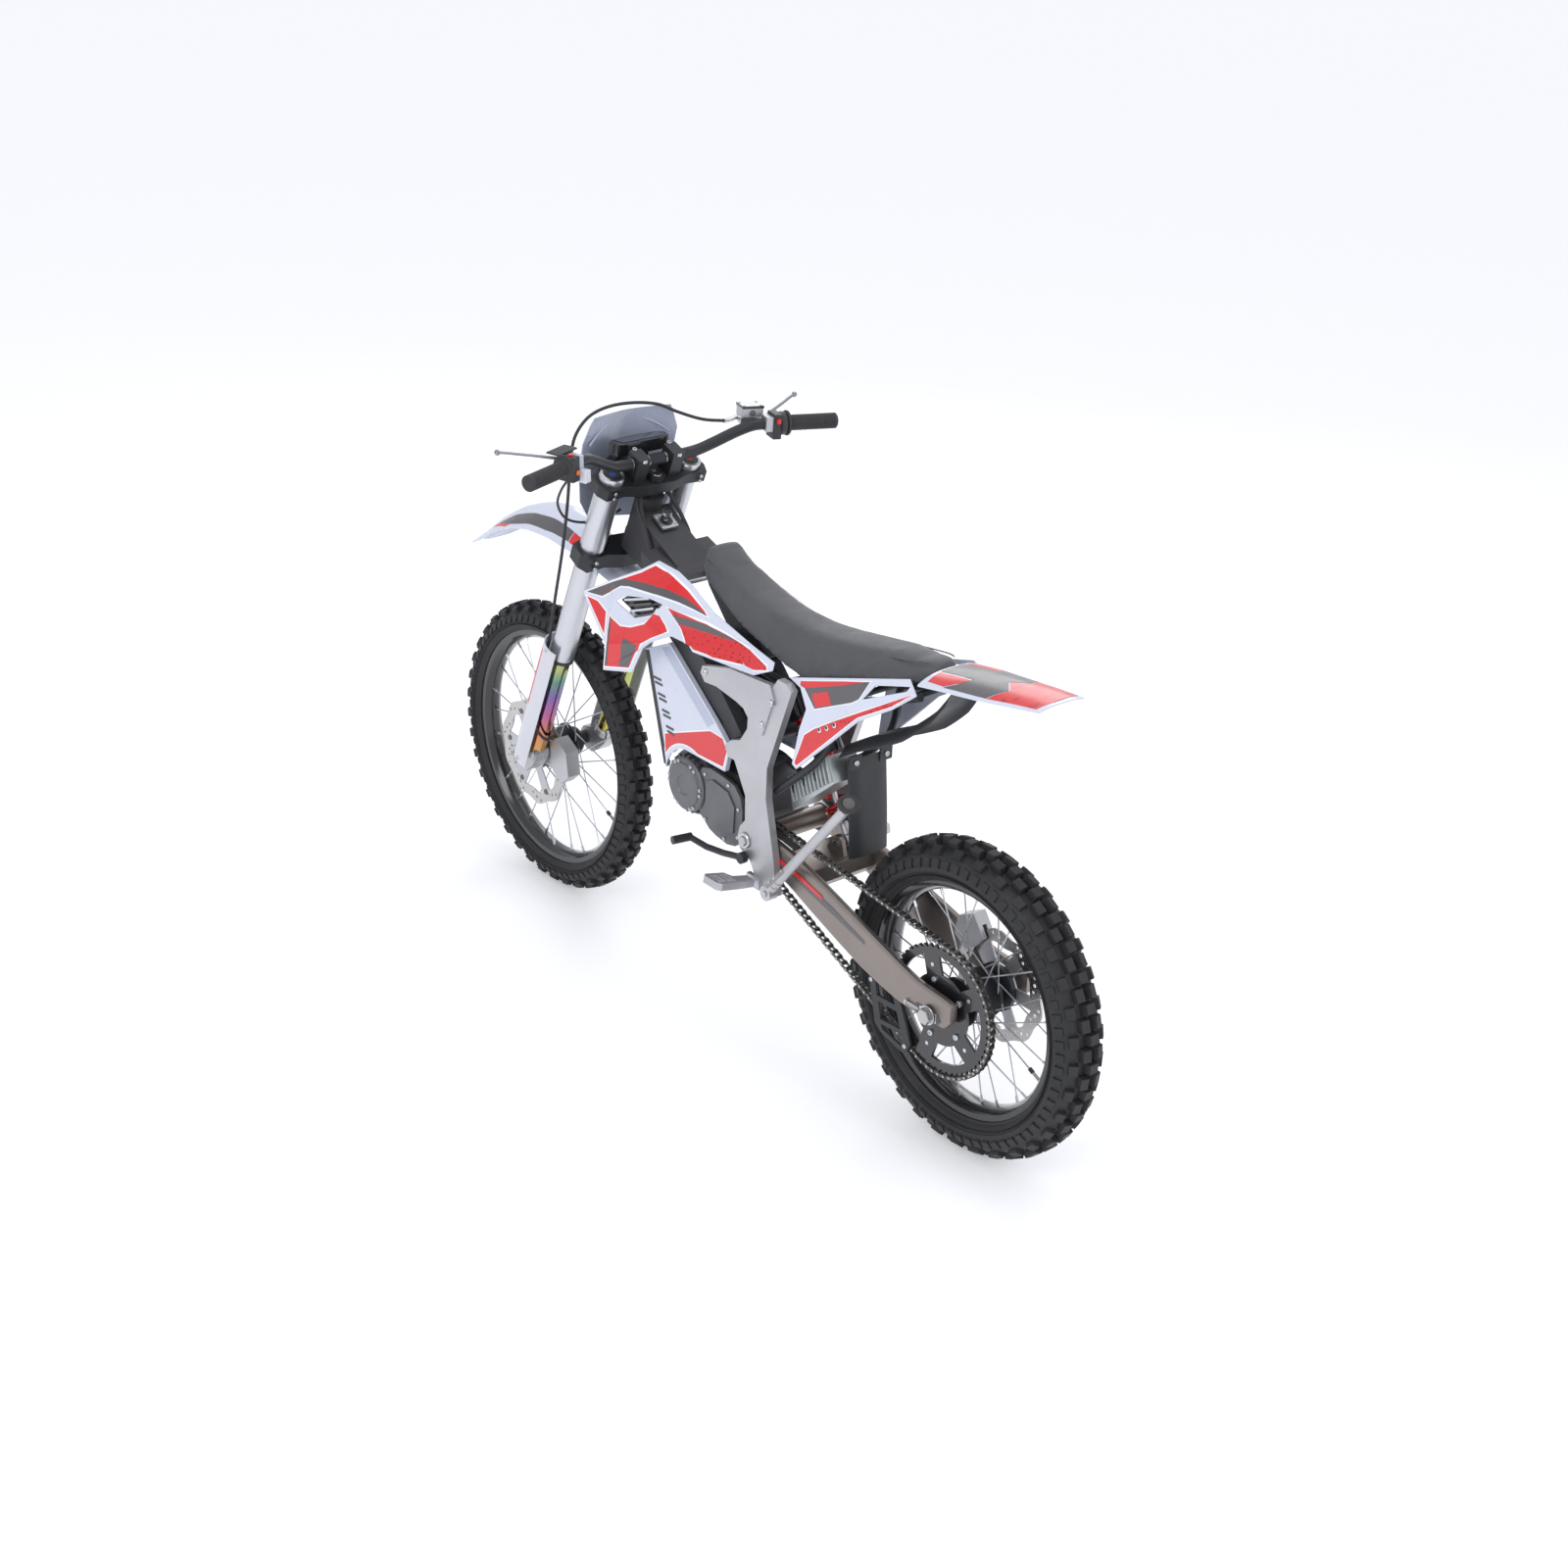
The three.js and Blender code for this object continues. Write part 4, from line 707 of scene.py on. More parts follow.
def wave_disc(name, spec, radius, bore, low, high, body):
    """A brake disc with wavy edges and drilled holes, its riveted carrier and the carrier's bolts."""
    edge, inner = [], []
    hub, waves = (spec["x"], spec["radius"]), 10
    for i in range(240):
        a = TAU * i / 240
        edge.append(polar(hub, radius - 3.5 + 3.4 * sin(waves * a), a))
        inner.append(polar(hub, radius - 31 + 3.0 * sin(waves * a + 0.8), a))
    holes = [inner]
    for i in range(waves):
        for k, (r, size) in enumerate(((radius - 10, 3.4), (radius - 17, 3.8), (radius - 24, 3.2))):
            holes.append(circle(*polar(hub, r, TAU * (i + 0.22 * k + 0.1) / waves), size, 10))
    shape = Shape().add(prism(edge, low, high, holes), STEEL)
    carrier = []
    for i in range(6):
        for da, r in ((-0.16, radius - 27), (0.16, radius - 27), (0.3, bore + 18), (0.75, bore + 18)):
            carrier.append(polar(hub, r, TAU * i / 6 + da))
    shape.add(prism(carrier, low + 0.4, high - 0.4, [circle(*hub, bore, 40)]), CAST)
    outward, face = (1, high) if high > 0 else (-1, low)
    for i in range(6):
        a = TAU * i / 6
        x, z = polar(hub, radius - 30, a)
        shape.add(cylinder(6.4, 0, 2, 20, 0.5), DARK_STEEL, axis_matrix((x, face - outward * 0.6, z), (0, outward, 0)))
        x, z = polar(hub, bore + 9, a + 0.5)
        shape.add(bolt(5, 3.4), SATIN, axis_matrix((x, face, z), (0, outward, 0)))
    shape.make("p_" + name, body, [name], "steel", sharp=30)


def teeth_edge(at, teeth, pitch_radius, high):
    """A sprocket's toothed outline, its tips standing high above the pitch circle."""
    points, low = [], -4.6
    for i in range(teeth):
        for step, rise in ((-0.5, low), (-0.28, low * 0.5), (-0.12, high), (0.12, high), (0.28, low * 0.5)):
            points.append(polar(at, pitch_radius + rise, TAU * (i + 0.5 + step) / teeth))
    return points


def add_drive():
    big, small = (CHAIN_PITCH / (2 * sin(pi / t)) for t in (REAR_TEETH, DRIVE_TEETH))
    faces = CHAIN_LINE - 3, CHAIN_LINE + 3
    hub = (0, REAR["radius"])
    holes = [circle(*hub, 31, 40)]
    for i in range(5):
        a = TAU * (i + 0.5) / 5
        holes.append(circle(*hub, 112, 10, a - 0.44, 0.88) + circle(*hub, 74, 6, a + 0.34, -0.68))
    shape = Shape().add(prism(teeth_edge(hub, REAR_TEETH, big, 2.4), *faces, holes), GLOSS_BLACK)
    for i in range(5):
        a = TAU * i / 5
        x, z = polar(hub, 62, a)
        shape.add(bolt(6.4, 4.5), SATIN, axis_matrix((x, CHAIN_LINE + 3, z), (0, 1, 0)))
        x, z = polar(hub, 92, a)
        shape.add(cylinder(4.2, 0, 1.2, 14, 0.3), SATIN, axis_matrix((x, CHAIN_LINE + 2.9, z), (0, 1, 0)))
    shape.make("p_rear_sprocket", "rear_wheel", ["rear_sprocket"], "black_metal", sharp=30)
    drive = prism(teeth_edge(DRIVE, DRIVE_TEETH, small, 2.2), *faces, [circle(*DRIVE, 10.5, 24)])
    Shape().add(drive, DARK_STEEL).make("p_drive_sprocket", "drive_sprocket", ["drive_sprocket"], "steel", sharp=30)

    reach = hypot(DRIVE[0], DRIVE[1] - hub[1])
    slope = atan2(DRIVE[1] - hub[1], DRIVE[0])
    lift = 7.0  # the chain's line above the pitch circles
    big, small = big + lift, small + lift
    spread = acos((big - small) / reach)
    loop = circle(*hub, big, 60, slope + spread, TAU - 2 * spread)
    loop += circle(*DRIVE, small, 20, slope - spread, 2 * spread)
    points = [Vector((x, 0, z)) for x, z in loop]
    lengths = [0.0]
    for a, b in zip(points, points[1:] + points[:1]):
        lengths.append(lengths[-1] + (b - a).length)
    total = lengths[-1]
    count = 2 * round(total / CHAIN_PITCH / 2)

    def along(s):
        s %= total
        k = max(i for i, length in enumerate(lengths[:-1]) if length <= s)
        t = (s - lengths[k]) / (lengths[k + 1] - lengths[k])
        return points[k].lerp(points[(k + 1) % len(points)], t)

    shape = Shape()
    for i in range(count):
        a, b = along(i * total / count), along((i + 1) * total / count)
        ahead = (b - a).normalized()
        turn = shifted((a + b) / 2) @ turned(atan2(-ahead.z, ahead.x), "Y")
        half = (b - a).length / 2
        turns = [pi * k / 6 + pi / 2 for k in range(7)]
        outline = [(-half + 4.4 * cos(t), 4.4 * sin(t)) for t in turns] + [(0, -3.1)]
        outline += [(half - 4.4 * cos(t), -4.4 * sin(t)) for t in turns] + [(0, 3.1)]
        wide = 6.6 if i % 2 else 5.0
        for sign in (1, -1):
            mid = CHAIN_LINE + sign * wide
            shape.add(prism(outline, mid - 0.7, mid + 0.7), DARK_STEEL, turn)
        across = shifted(a + Vector((0, CHAIN_LINE, 0))) @ turned(pi / 2, "X")
        shape.add(cylinder(2.3, -7.4, 7.4, 10), STEEL, across)
        shape.add(cylinder(4.4, -4.0, 4.0, 12), DARK_STEEL, across)
    chain = shape.make("p_chain", "swingarm", ["chain"], "black_metal", sharp=35)
    chain.parent = None
    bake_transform(chain)


# ---------------------------------------------------------------- fork and steering
def shell(rows, place, thickness):
    """A sheet through rows of points about a fork leg, thickened towards the leg's centre line."""
    verts, faces = grid(rows, (0, 0, 0))
    n = len(verts) // 2
    centre, up = place @ Vector((0, 0, 0)), STEER.to_3x3() @ Vector((0, 0, 1))
    for i in range(n):
        radial = (verts[i] - centre) - up * (verts[i] - centre).dot(up)
        verts[n + i] = verts[i] - radial.normalized() * thickness
    return verts, faces


def add_fork():
    for name, side, tempered_metal in (("left", 1, TEMPERED_LEFT), ("right", -1, TEMPERED_RIGHT)):
        place = STEER @ shifted((FORK_AHEAD, side * FORK_HALF, 0))
        outer = [(23.7, -500), (27.4, -500), (28, -498), (28, -470), (27.6, -466), (27.6, 2), (27.2, 6), (26, 9.6),
                 (21, 10.0), (20, 8.4), (0.0, 8.4), (0.0, -28), (23.7, -28)]
        shape = Shape().add(lathe(outer, 64), SATIN, place)
        shape.add(pipe(28.2, 23.5, -501.5, -492, 48), BLACK_PLASTIC, place)
        cap = BLUE_ANODISED if side > 0 else RED_ANODISED
        shape.add(cylinder(20.4, 8.0, 9.3, 48, 0.4), BLACK_METAL, place)
        shape.add(cylinder(13, 8, 9.9, 6, 0.4), BLACK_METAL, place)
        shape.add(cylinder(7, 9.2, 10.2, 24, 0.4), cap, place)
        shape.make(f"p_fork_tube_{name}", "steering", [f"fork_tube_{name}"], "satin_aluminium", sharp=32)

        leg = Shape().add(cylinder(22.9, -786, -330, 64, 0.5), tempered_metal, place)
        foot = [(-26, -770), (-20, -764), (20, -764), (27, -768), (35, -798), (60, -816), (64, -830), (62, -846),
                (52, -857), (28, -861), (8, -855), (-6, -838), (-22, -806), (-27, -790)]
        bore = circle(42, -836.6, 10.5, 28)
        leg.add(prism(foot, -18, 18, [bore]), CAST, place)
        leg.add(cylinder(27, -792, -772, 40, 3), CAST, place)
        for z in (-849, -824):
            at = place @ Vector((47, side * 18, z))
            leg.add(bolt(4.2, 2.4), SATIN, axis_matrix(at, (0, side, 0)))
        leg.make(f"p_fork_leg_{name}", "fork_lower", [f"fork_leg_{name}"], "satin_aluminium", sharp=32, bevel=1.2)

        arc = [(-0.28 + 2.38 * k / 18) for k in range(19)]
        rows = []
        for z in (-462, -466, -520, -600, -700, -780, -802, -806):
            squeeze = 1.0 if z > -790 else 0.97
            reach = GUARD_RADIUS * squeeze
            rows.append([place @ Vector((reach * cos(a), side * reach * sin(a), z)) for a in arc])
        guard = Shape().add(shell(rows, place, 2.6), GUARD)
        stripe = [[place @ Vector((46.9 * cos(a), side * 46.9 * sin(a), z)) for a in arc[3:12]]
                  for z in (-480, -560, -640)]
        guard.add(shell(stripe, place, 1.0), RED)
        for z in (-470, -796):
            for a in (0.1, 1.5):
                at = place @ Vector((46.4 * cos(a), side * 46.4 * sin(a), z))
                out = STEER.to_3x3() @ Vector((cos(a), side * sin(a), 0))
                guard.add(bolt(4.4, 2.2), SATIN, axis_matrix(at, out))
        guard.make(f"p_fork_guard_{name}", "fork_lower", (), "pale_plastic", sharp=50)


def add_clamps():
    refined("upper_clamp", BLACK_METAL, 2.2, 3)
    refined("lower_clamp", BLACK_METAL, 3.0, 3)
    up, back = (STEER.to_3x3() @ Vector(way) for way in ((0, 0, 1), (-1, 0, 0)))
    shape = Shape()
    for y in (45, -45):
        for x, z in ((1050, 1160), (1014, 1144)):
            shape.add(bolt(5.6, 6.0), SATIN, axis_matrix((x, y, z), up))
    for side in (1, -1):
        for z, radius in ((-12, 4.0), (-24, 4.0), (-196, 4.4), (-212, 4.4)):
            shape.add(bolt(radius, 4), SATIN, axis_matrix(STEER @ Vector((-16, side * 112, z)), back))
    shape.add(cylinder(19.5, -4.4, 6.9, 6, 1.5), SATIN, STEER)
    shape.add(cylinder(11, 5, 8.2, 32, 1), STEEL, STEER)
    shape.make("clamp_fixings", "steering", (), "satin_aluminium", sharp=32)


BAR_BEND = Vector((972, 236, 1192))
BAR_END = Vector((923, 398, 1186))


def bar_matrix(side):
    """Places Z of a body along the bar's straight end, from its tip inward."""
    end = Vector((BAR_END.x, side * BAR_END.y, BAR_END.z))
    bend = Vector((BAR_BEND.x, side * BAR_BEND.y, BAR_BEND.z))
    inward = (bend - end).normalized()
    up = Vector((0, 0, 1))
    up = (up - inward * up.dot(inward)).normalized()
    ahead = inward.cross(up) if side < 0 else up.cross(inward)
    return shifted(end) @ axes(ahead, up, inward)


def add_bar():
    tip = BAR_END.lerp(BAR_BEND, 0.04)
    half = [tip, BAR_END.lerp(BAR_BEND, 0.5), BAR_END.lerp(BAR_BEND, 0.92), Vector((981, 218, 1190)),
            Vector((998, 190, 1178)), Vector((1020, 140, 1154)), Vector((1031, 110, 1142)), Vector((1036, 80, 1138))]
    centre = [Vector((1036, y, 1138)) for y in (40, 0, -40)]
    other = [Vector((p.x, -p.y, p.z)) for p in half[::-1]]
    path = smooth_path([*half, *centre, *other], 7)
    shape = Shape().add(tube(path, BAR_RADIUS, 28), BLACK_METAL)
    for y in (64, -64, 22, -22):
        shape.add(pipe(12.6, 11.5, -1.2, 1.2, 40), SATIN, axis_matrix((1036, y, 1138), (0, 1, 0)))
    for k in range(44):
        turn = turned(TAU * k / 44, "Y")
        shape.add(box(-0.5, 0.5, -22, 22, 11.9, 12.6), BLACK_METAL, shifted(BAR_CENTRE) @ turn)
    shape.make("p_handlebar", "steering", ["handlebar"], "black_metal", sharp=36)


def grip(name, side, body):
    """A ribbed rubber grip with a flange at its inner end."""
    place = bar_matrix(side)
    profile = [(12.9, 4), (12.9, 1), (0, 1), (0, -1), (14.5, -0.8), (17, 1.4)]
    z = 5.0
    while z < 106:
        profile += [(16.9, z), (16.9, z + 3.2), (15.7, z + 3.8), (15.7, z + 5.2)]
        z += 5.8
    flange = [(17.4, 110), (20, 112), (26.4, 112.4), (27, 114), (27, 116), (26.2, 117.6), (13, 117.8)]
    shape = Shape().add(lathe(profile + flange, 48, closed=True), RUBBER, place)
    shape.make("p_" + name, body, [name], "rubber", sharp=40)


def lever(name, side):
    """A hand lever's blade with its ball end and pivot."""
    blade = [(999, 263, 1192.5), (1006, 274, 1195), (1014, 290, 1198), (1024, 320, 1204), (1034, 348, 1209),
             (1042, 368, 1212.5), (1047, 382, 1214.5)]
    path = [Vector((x, side * y, z)) for x, y, z in smooth_path(blade, 5)]
    widths = [6.5 - 2.6 * min(1.0, i / (len(path) * 0.45)) for i in range(len(path))]
    shape = Shape().add(tube(path, widths, 16, flat=0.72), LEVER_ALLOY)
    tip = Vector((1048, side * 386, 1215))
    shape.add(lathe([(0, -6.4), (4, -5), (6.4, 0), (4, 5), (0, 6.4)], 20), LEVER_ALLOY, shifted(tip))
    shape.add(cylinder(6.0, 1188.6, 1196.2, 28, 1), LEVER_ALLOY, shifted((999, side * 263, 0)))
    shape.make("p_" + name, name, [name], "satin_aluminium", sharp=50)


def add_controls():
    """Switch blocks and the master cylinder, in the frame of each end of the bar (ahead, up, inward)."""
    to_back, to_up = turned(-pi / 2, "Y"), turned(-pi / 2, "X")
    to_floor = turned(pi / 2, "X")
    place = bar_matrix(1)
    shape = Shape()
    for bounds, material in (((-19, 19, -30, 22, 119, 142), BLACK_PLASTIC), ((-15, 15, -13, 19, 144, 160), PALE),
                             ((-7, 7, 13, 18, 141, 146), BLACK_PLASTIC), ((-34, -15, -34, -8, 140, 158), GUARD),
                             ((14, 40, 9, 19, 146, 160), BLACK_PLASTIC), ((10, 44, 22, 26, 112, 172), BLACK_PLASTIC),
                             ((14, 40, -11.5, -5, 146, 160), BLACK_PLASTIC)):
        shape.add(box(*bounds), material, place)
    shape.make("p_left_control", "steering", ["left_control"], "black_plastic", sharp=40, bevel=2.4, segments=3)
    buttons = Shape()
    buttons.add(cylinder(6, 21, 26, 24, 1.5), RED_PLASTIC, place @ shifted((-4, 0, 131)) @ to_up)
    buttons.add(cylinder(5, 19, 24, 24, 1.5), ORANGE_PLASTIC, place @ shifted((0, -10, 131)) @ to_back)
    for z in (126, 136):
        buttons.add(bolt(2.6, 1.6), SATIN, place @ shifted((8, -30, z)) @ to_floor)
    buttons.make("left_buttons", "steering", (), "red_plastic", sharp=40)

    place = bar_matrix(-1)
    shape = Shape().add(cylinder(25, 119, 134, 40, 2), BLACK_PLASTIC, place)
    for bounds, material in (((-20, 20, -30, 24, 133, 152), BLACK_PLASTIC), ((-17, 17, -14, 18, 151, 168), CAST),
                             ((29, 50, -8, 10, 163, 208), SATIN), ((20, 56, 9, 30, 161, 209), CAST),
                             ((18, 58, 28, 34, 160, 210), GLOSS_BLACK)):
        shape.add(box(*bounds), material, place)
    shape.make("p_right_control", "steering", ["right_control"], "black_plastic", sharp=40, bevel=2.2, segments=3)
    trims = Shape()
    trims.add(cylinder(7, 0, 1.6, 24, 0.6), DARK_CAST, place @ shifted((20, 18, 186)) @ to_back)
    for z in (166, 204):
        for x in (24, 52):
            trims.add(bolt(2.8, 1.4), SATIN, place @ shifted((x, 34, z)) @ to_up)
    hose_end = [(1040, -184, 1190), (1039, -194, 1190), (1036, -204, 1192), (1031, -220, 1199)]
    trims.add(tube(hose_end, 5.4, 18), MACHINED)
    trims.make("right_trims", "steering", (), "satin_aluminium", sharp=40)
    refined("kill_button", RED_PLASTIC, 1.2, 2)


def add_sheet(node, body, rows, thickness, material, slot):
    """A moulding that is one curved sheet, in place of its CAD node."""
    Shape().add(grid(rows, thickness), material).make("p_" + node, body, [node], slot, sharp=60)


def add_front_end():
    stations = [(1098, 44, 838, 860), (1150, 52, 856, 884), (1226, 58, 878, 915), (1290, 62, 884, 938),
                (1349, 64, 890, 945), (1420, 64, 886, 936), (1500, 60, 866, 908), (1580, 52, 830, 862),
                (1650, 40, 790, 810), (1712, 22, 762, 768)]
    rows = []
    for x, half, edge, mid in spline_rows(stations, 4):
        rows.append([(x, half * u, mid + (edge - mid) * abs(u) ** 2.4 - 3.5 * exp(-((abs(u) - 0.62) / 0.12) ** 2))
                     for u in (k / 10 for k in range(-10, 11))])
    add_sheet("front_fender", "steering", rows, (0, 0, -FENDER_THICKNESS), WHITE, "white_plastic")
    fender = fender_print(rows)
    prints = Shape()
    swoosh = [(1573, 36), (1497, 38), (1394, 40), (1276, 38), (1276, 54), (1356, 59), (1459, 58), (1500, 56),
              (1560, 44)]
    patch = [(1274, 38), (1234, 36), (1230, 50), (1262, 54), (1274, 54)]
    tip = [(1602, 33), (1575, 36), (1562, 44), (1502, 56), (1523, 56), (1592, 41)]
    for outline, material in ((swoosh, GREY), (patch, RED), (tip, RED)):
        prints.both(fender.area(outline, PRINT_LIFT), material)
    prints.make("front_fender_prints", "steering", (), "white_plastic", sharp=50)
    mask = [(1222, 99, 1118, 1136), (1206, 108, 1121, 1146), (1167, 124, 1126, 1164), (1100, 122, 1142, 1196),
            (1030, 108, 1158, 1212), (965, 66, 1172, 1205)]
    rows = []
    for (z, half, edge, mid), (z2, half2, edge2, mid2) in zip(mask, mask[1:]):
        for t in (0.0, 0.25, 0.5, 0.75):
            wide, rim, deep = (a + (b - a) * t for a, b in ((half, half2), (edge, edge2), (mid, mid2)))
            rows.append([(deep + (rim - deep) * abs(k / 8) ** 1.5, wide * k / 8, z + (z2 - z) * t)
                         for k in range(-8, 9)])
    rows.append([(mid2 + (edge2 - mid2) * abs(k / 8) ** 1.5, half2 * k / 8, z2) for k in range(-8, 9)])
    shape = Shape().add(grid(rows, (-3.4, 0, 0)), PALE)
    arc = []
    for k in range(21):
        y = -104 + 10.4 * k
        share = abs(y) / 116
        arc.append((1149 + (1123 - 1149) * share ** 1.5, y, 1202 - 52 * share ** 2))
    shape.add(tube(arc, 2.6, 10), PALE)
    lens = []
    for (z, half, edge, mid), (z2, half2, edge2, mid2) in zip(mask[2:4], mask[3:5]):
        for t in ((0.15, 0.4, 0.7) if z > 1150 else (0.0, 0.3, 0.6, 0.8)):
            wide, rim, deep = (a + (b - a) * t for a, b in ((half, half2), (edge, edge2), (mid, mid2)))
            level = z + (z2 - z) * t
            reach = 78 - 14 * abs(level - 1110) / 60
            lens.append([(deep + (rim - deep) * (abs(reach * k / 6) / wide) ** 1.5 + 2.2, reach * k / 6, level)
                         for k in range(-6, 7)])
    shape.add(grid(lens, (-3, 0, 0)), GLOSS_BLACK)
    shape.make("p_headlight_mask", "steering", ["headlight_mask"], "pale_plastic", sharp=34, bevel=0.8)
    refined("headlight", GLOSS_BLACK, 3, 3)
    refined("dash", GLOSS_BLACK, 6, 4)
    shape = Shape()
    face = [(1080, -52), (1106, -58), (1110, 0), (1106, 58), (1080, 52)]
    shape.add(plate(face, 1170.2, 1171.0), surface("display", (0.02, 0.024, 0.03), 0.08, coat=1.0,
                                                    spread=0.05))
    shape.make("dash_display", "steering", (), "black_plastic", sharp=30)


# ---------------------------------------------------------------- printed graphics
def grown(outline, by):
    """An outline moved outward by a distance."""
    area = sum(a[0] * b[1] - b[0] * a[1] for a, b in zip(outline, outline[1:] + outline[:1]))
    sign = 1 if area > 0 else -1
    out = []
    for i, (x, z) in enumerate(outline):
        before, after = outline[i - 1], outline[(i + 1) % len(outline)]
        a = Vector((x - before[0], z - before[1])).normalized()
        b = Vector((after[0] - x, after[1] - z)).normalized()
        normal = (Vector((a.y, -a.x)) + Vector((b.y, -b.x))) * sign
        miter = by / max(0.45, normal.length / 2)
        out.append(tuple(Vector((x, z)) + normal.normalized() * miter))
    return out


OUTWARD = 0.02  # a panel's face with a normal above this faces out


class Print:
    """Thin printed areas on the side of a moulding that faces y or z, cut so that they follow its folds.

    An outline is given in the two other layout directions."""

    def __init__(self, points, faces, facing, cuts):
        self.tree = BVHTree.FromPolygons(points, faces)
        self.facing, self.cuts = facing, cuts
        levels = [p[1 if facing == "y" else 2] for p in points]
        self.level = sum(levels) / len(levels)

    @classmethod
    def on_node(cls, node):
        """For a CAD panel, whose folds are its edges."""
        mesh = frame["nodes"][node].data
        points = [Vector((v.co.x / MM + SHIFT, v.co.y / MM, v.co.z / MM)) for v in mesh.vertices]
        work = bmesh.new()
        work.from_mesh(mesh)
        bmesh.ops.remove_doubles(work, verts=work.verts, dist=WELD)
        cuts = []
        for edge in work.edges:
            if len(edge.link_faces) == 2 and all(f.normal.y > OUTWARD for f in edge.link_faces):
                cuts.append(tuple((v.co.x / MM + SHIFT, v.co.z / MM) for v in edge.verts))
        work.free()
        return cls(points, [tuple(f.vertices) for f in mesh.polygons], "y", cuts)

    def place(self, u, v, w):
        return Vector((u, w, v)) if self.facing == "y" else Vector((u, v, w))

    def height(self, u, v):
        hit = self.tree.ray_cast(self.place(u, v, RAY_START), self.place(0, 0, -1))[0]
        if hit is None:
            hit = self.tree.find_nearest(self.place(u, v, self.level))[0]
        return hit.y if self.facing == "y" else hit.z

    def area(self, outline, lift):
        work = bmesh.new()
        corners = [work.verts.new(self.place(u, v, 0)) for u, v in outline]
        for face in tessellate_polygon([[Vector((u, v, 0)) for u, v in outline]]):
            work.faces.new([corners[i] for i in face])
        for a, b in self.cuts:
            start = self.place(*a, 0)
            across = (self.place(*b, 0) - start).cross(self.place(0, 0, 1))
            bmesh.ops.bisect_plane(work, geom=[*work.verts, *work.edges, *work.faces], dist=0.01,
                                   plane_co=start, plane_no=across)
        work.verts.index_update()
        flat = [(v.co.x, v.co.z if self.facing == "y" else v.co.y) for v in work.verts]
        levels = [self.height(u, v) for u, v in flat]
        top = [self.place(u, v, w + lift) for (u, v), w in zip(flat, levels)]
        low = [self.place(u, v, w - PRINT_DEPTH) for (u, v), w in zip(flat, levels)]
        count = len(top)
        faces = []
        for face in work.faces:
            ring = tuple(v.index for v in face.verts)
            faces += [ring, tuple(count + i for i in ring[::-1])]
        for edge in work.edges:
            if len(edge.link_faces) == 1:
                a, b = (v.index for v in edge.verts)
                faces.append((a, b, count + b, count + a))
        work.free()
        return top + low, faces


BORDER_LIFT, PRINT_LIFT, OVERPRINT_LIFT = 0.4, 0.8, 1.1
PRINT_DEPTH = 0.3  # how far a print reaches into its moulding
RAY_START = 3000  # outside the machine on every side


